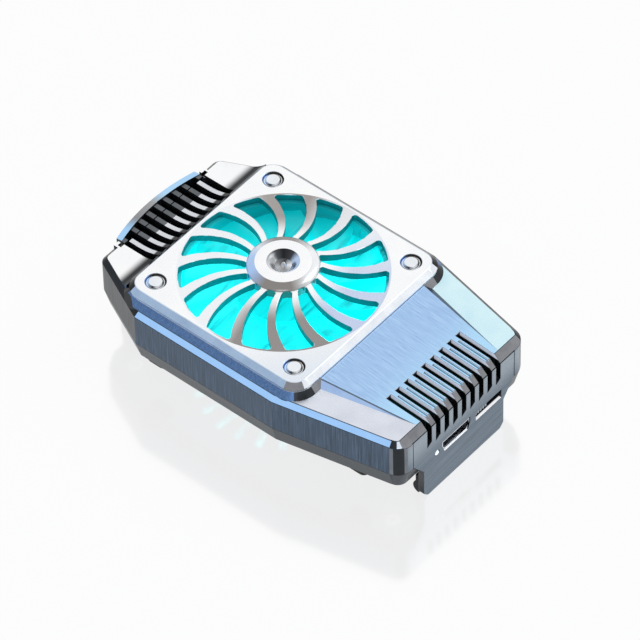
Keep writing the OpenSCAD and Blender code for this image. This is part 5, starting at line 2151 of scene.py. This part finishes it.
@dataclass
class Studio:
    """Camera, lamps, floor and sky. Lengths in mm, the camera's from the plate's top.

    Args:
        azimuth: the camera's place round the object, in degrees.
        elevation: its height over the horizon, in degrees.
        roll: how far it is turned about its own axis, in degrees.
        distance: how far off it stands.
        shift_right: how far it is moved to its right.
        shift_up: how far it is moved up.
        focal_px: its focal length, in pixels of the picture.
        frame_px: the picture's width, in pixels.
        plate_z: height of the grille plate's top.
        floor_z: height of the floor.
        floor_reach: how far the floor goes each way.
        floor_white: the share of plain white in it where it is seen.
        floor_rough: its roughness under the polish.
        polish: the share of mirror in it.
        polish_rough: that mirror's roughness.
        sky_level: how bright the sky lights the object; 1 is paper white.
    """

    azimuth: float = 41.18
    elevation: float = 47.66
    roll: float = -1.53
    distance: float = 1075.0
    shift_right: float = 6.438
    shift_up: float = -8.542
    focal_px: float = 6092.0
    frame_px: float = 640.0
    plate_z: float = 14.3
    floor_z: float = -6.93
    floor_reach: float = 1500.0
    floor_white: float = 0.93
    floor_rough: float = 0.25
    polish: float = 0.14
    polish_rough: float = 0.12
    sky_level: float = 0.55

    def camera(self) -> None:
        """Puts the camera where the photograph was taken from."""
        a, e, r = (math.radians(v) for v in (self.azimuth, self.elevation, self.roll))
        back = Vector((math.sin(a) * math.cos(e), -math.cos(a) * math.cos(e), math.sin(e)))
        right = Vector((math.cos(a), math.sin(a), 0))
        up = back.cross(right)
        right, up = (
            math.cos(r) * right + math.sin(r) * up,
            -math.sin(r) * right + math.cos(r) * up,
        )
        data = bpy.data.cameras.new("camera")
        data.sensor_width = 36.0
        data.lens = self.focal_px / self.frame_px * data.sensor_width
        data.clip_start, data.clip_end = 0.05, 10.0
        camera = bpy.data.objects.new("camera", data)
        bpy.context.scene.collection.objects.link(camera)
        at = self.shift_right * right + self.shift_up * up + self.distance * back
        at.z += self.plate_z
        turn = Matrix((right, up, back)).transposed().to_4x4()
        camera.matrix_world = Matrix.Translation(at * MM) @ turn
        bpy.context.scene.camera = camera

    def lamp(
        self, name: str, at_mm: Sequence[float], size_mm: float, level: float, code: str
    ) -> None:
        """Adds a soft square lamp that looks at the object.

        Args:
            name: the lamp's name.
            at_mm: where it stands.
            size_mm: the length of its sides.
            level: how bright its own face is, where 1 is paper white.
            code: its colour.
        """
        data = bpy.data.lights.new(name, "AREA")
        data.size = size_mm * MM
        data.energy = level * math.pi * data.size**2
        data.color = linear(code)[:3]
        lamp = bpy.data.objects.new(name, data)
        bpy.context.scene.collection.objects.link(lamp)
        lamp.location = Vector(at_mm) * MM
        lamp.rotation_euler = (-Vector(at_mm)).to_track_quat("-Z", "Y").to_euler()

    def sky(self) -> None:
        """Makes a plain pale world, white where the camera or a reflection sees it."""
        world = bpy.data.worlds.new("sky")
        bpy.context.scene.world = world
        world.use_nodes = True
        tree = world.node_tree
        tree.nodes.clear()
        seen = self.seen(tree)
        lit = add(
            tree,
            "ShaderNodeBackground",
            inputs={"Color": linear("#f4f8ff"), "Strength": self.sky_level},
        )
        white = add(tree, "ShaderNodeBackground", inputs={"Color": (1, 1, 1, 1), "Strength": 1.0})
        mix = add(
            tree, "ShaderNodeMixShader", inputs={0: seen, 1: lit.outputs[0], 2: white.outputs[0]}
        )
        add(tree, "ShaderNodeOutputWorld", inputs={"Surface": mix.outputs[0]})

    def seen(self, tree: bpy.types.NodeTree) -> bpy.types.NodeSocket:
        """Tells 1 for what the camera, a reflection or clear glass sees.

        Args:
            tree: the tree that asks.

        Returns:
            1 for such a ray and 0 for any other.
        """
        path = add(tree, "ShaderNodeLightPath")
        first = add(
            tree,
            "ShaderNodeMath",
            {"operation": "MAXIMUM"},
            {0: path.outputs["Is Camera Ray"], 1: path.outputs["Is Glossy Ray"]},
        )
        both = add(
            tree,
            "ShaderNodeMath",
            {"operation": "MAXIMUM"},
            {0: first.outputs[0], 1: path.outputs["Is Transmission Ray"]},
        )
        return both.outputs[0]

    def floor(self) -> None:
        """Lays a plain white floor that keeps the object's shadow and a faint reflection."""
        mesh = bpy.data.meshes.new("floor")
        reach = self.floor_reach * MM
        corners = [(-reach, -reach), (reach, -reach), (reach, reach), (-reach, reach)]
        mesh.from_pydata([(x, y, self.floor_z * MM) for x, y in corners], [], [(0, 1, 2, 3)])
        floor = new_piece("floor", mesh)
        material, tree = blank_material("white_floor")
        seen = self.seen(tree)
        shader = add(
            tree,
            "ShaderNodeBsdfPrincipled",
            inputs={"Base Color": linear("#fdfdfd"), "Roughness": self.floor_rough},
        )
        glow = add(tree, "ShaderNodeEmission", inputs={"Color": (1, 1, 1, 1), "Strength": 1.0})
        share = add(
            tree, "ShaderNodeMath", {"operation": "MULTIPLY"}, {0: seen, 1: self.floor_white}
        )
        mix = add(
            tree,
            "ShaderNodeMixShader",
            inputs={0: share.outputs[0], 1: shader.outputs[0], 2: glow.outputs[0]},
        )
        polish = add(
            tree,
            "ShaderNodeBsdfGlossy",
            inputs={"Color": (1, 1, 1, 1), "Roughness": self.polish_rough},
        )
        polished = add(
            tree,
            "ShaderNodeMixShader",
            inputs={0: self.polish, 1: mix.outputs[0], 2: polish.outputs[0]},
        )
        add(tree, "ShaderNodeOutputMaterial", inputs={"Surface": polished.outputs[0]})
        mesh.materials.append(material)
        floor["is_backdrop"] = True

    def build(self) -> None:
        """Sets up the whole studio."""
        bpy.context.scene.view_settings.view_transform = "Standard"
        self.camera()
        self.sky()
        self.floor()
        self.lamp("key_lamp", at_mm=(300, 420, 560), size_mm=420, level=1.5, code="#ffffff")
        self.lamp("side_lamp", at_mm=(380, -520, 260), size_mm=300, level=1.8, code="#eef4ff")


def corners() -> list[list[float]]:
    """Returns the shown object's lowest and highest corner as plain numbers."""
    return [list(corner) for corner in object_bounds()]


def main() -> None:
    """Builds the studio and every sub-assembly."""
    logging.basicConfig(level=logging.INFO, format="%(message)s")
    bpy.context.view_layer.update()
    for part in (Studio(), Shell(), Grille(), LightRing(), Fan(), Electronics(), Clamp()):
        part.build()
        log.info("%s done", type(part).__name__)


if __name__ == "__main__":
    main()
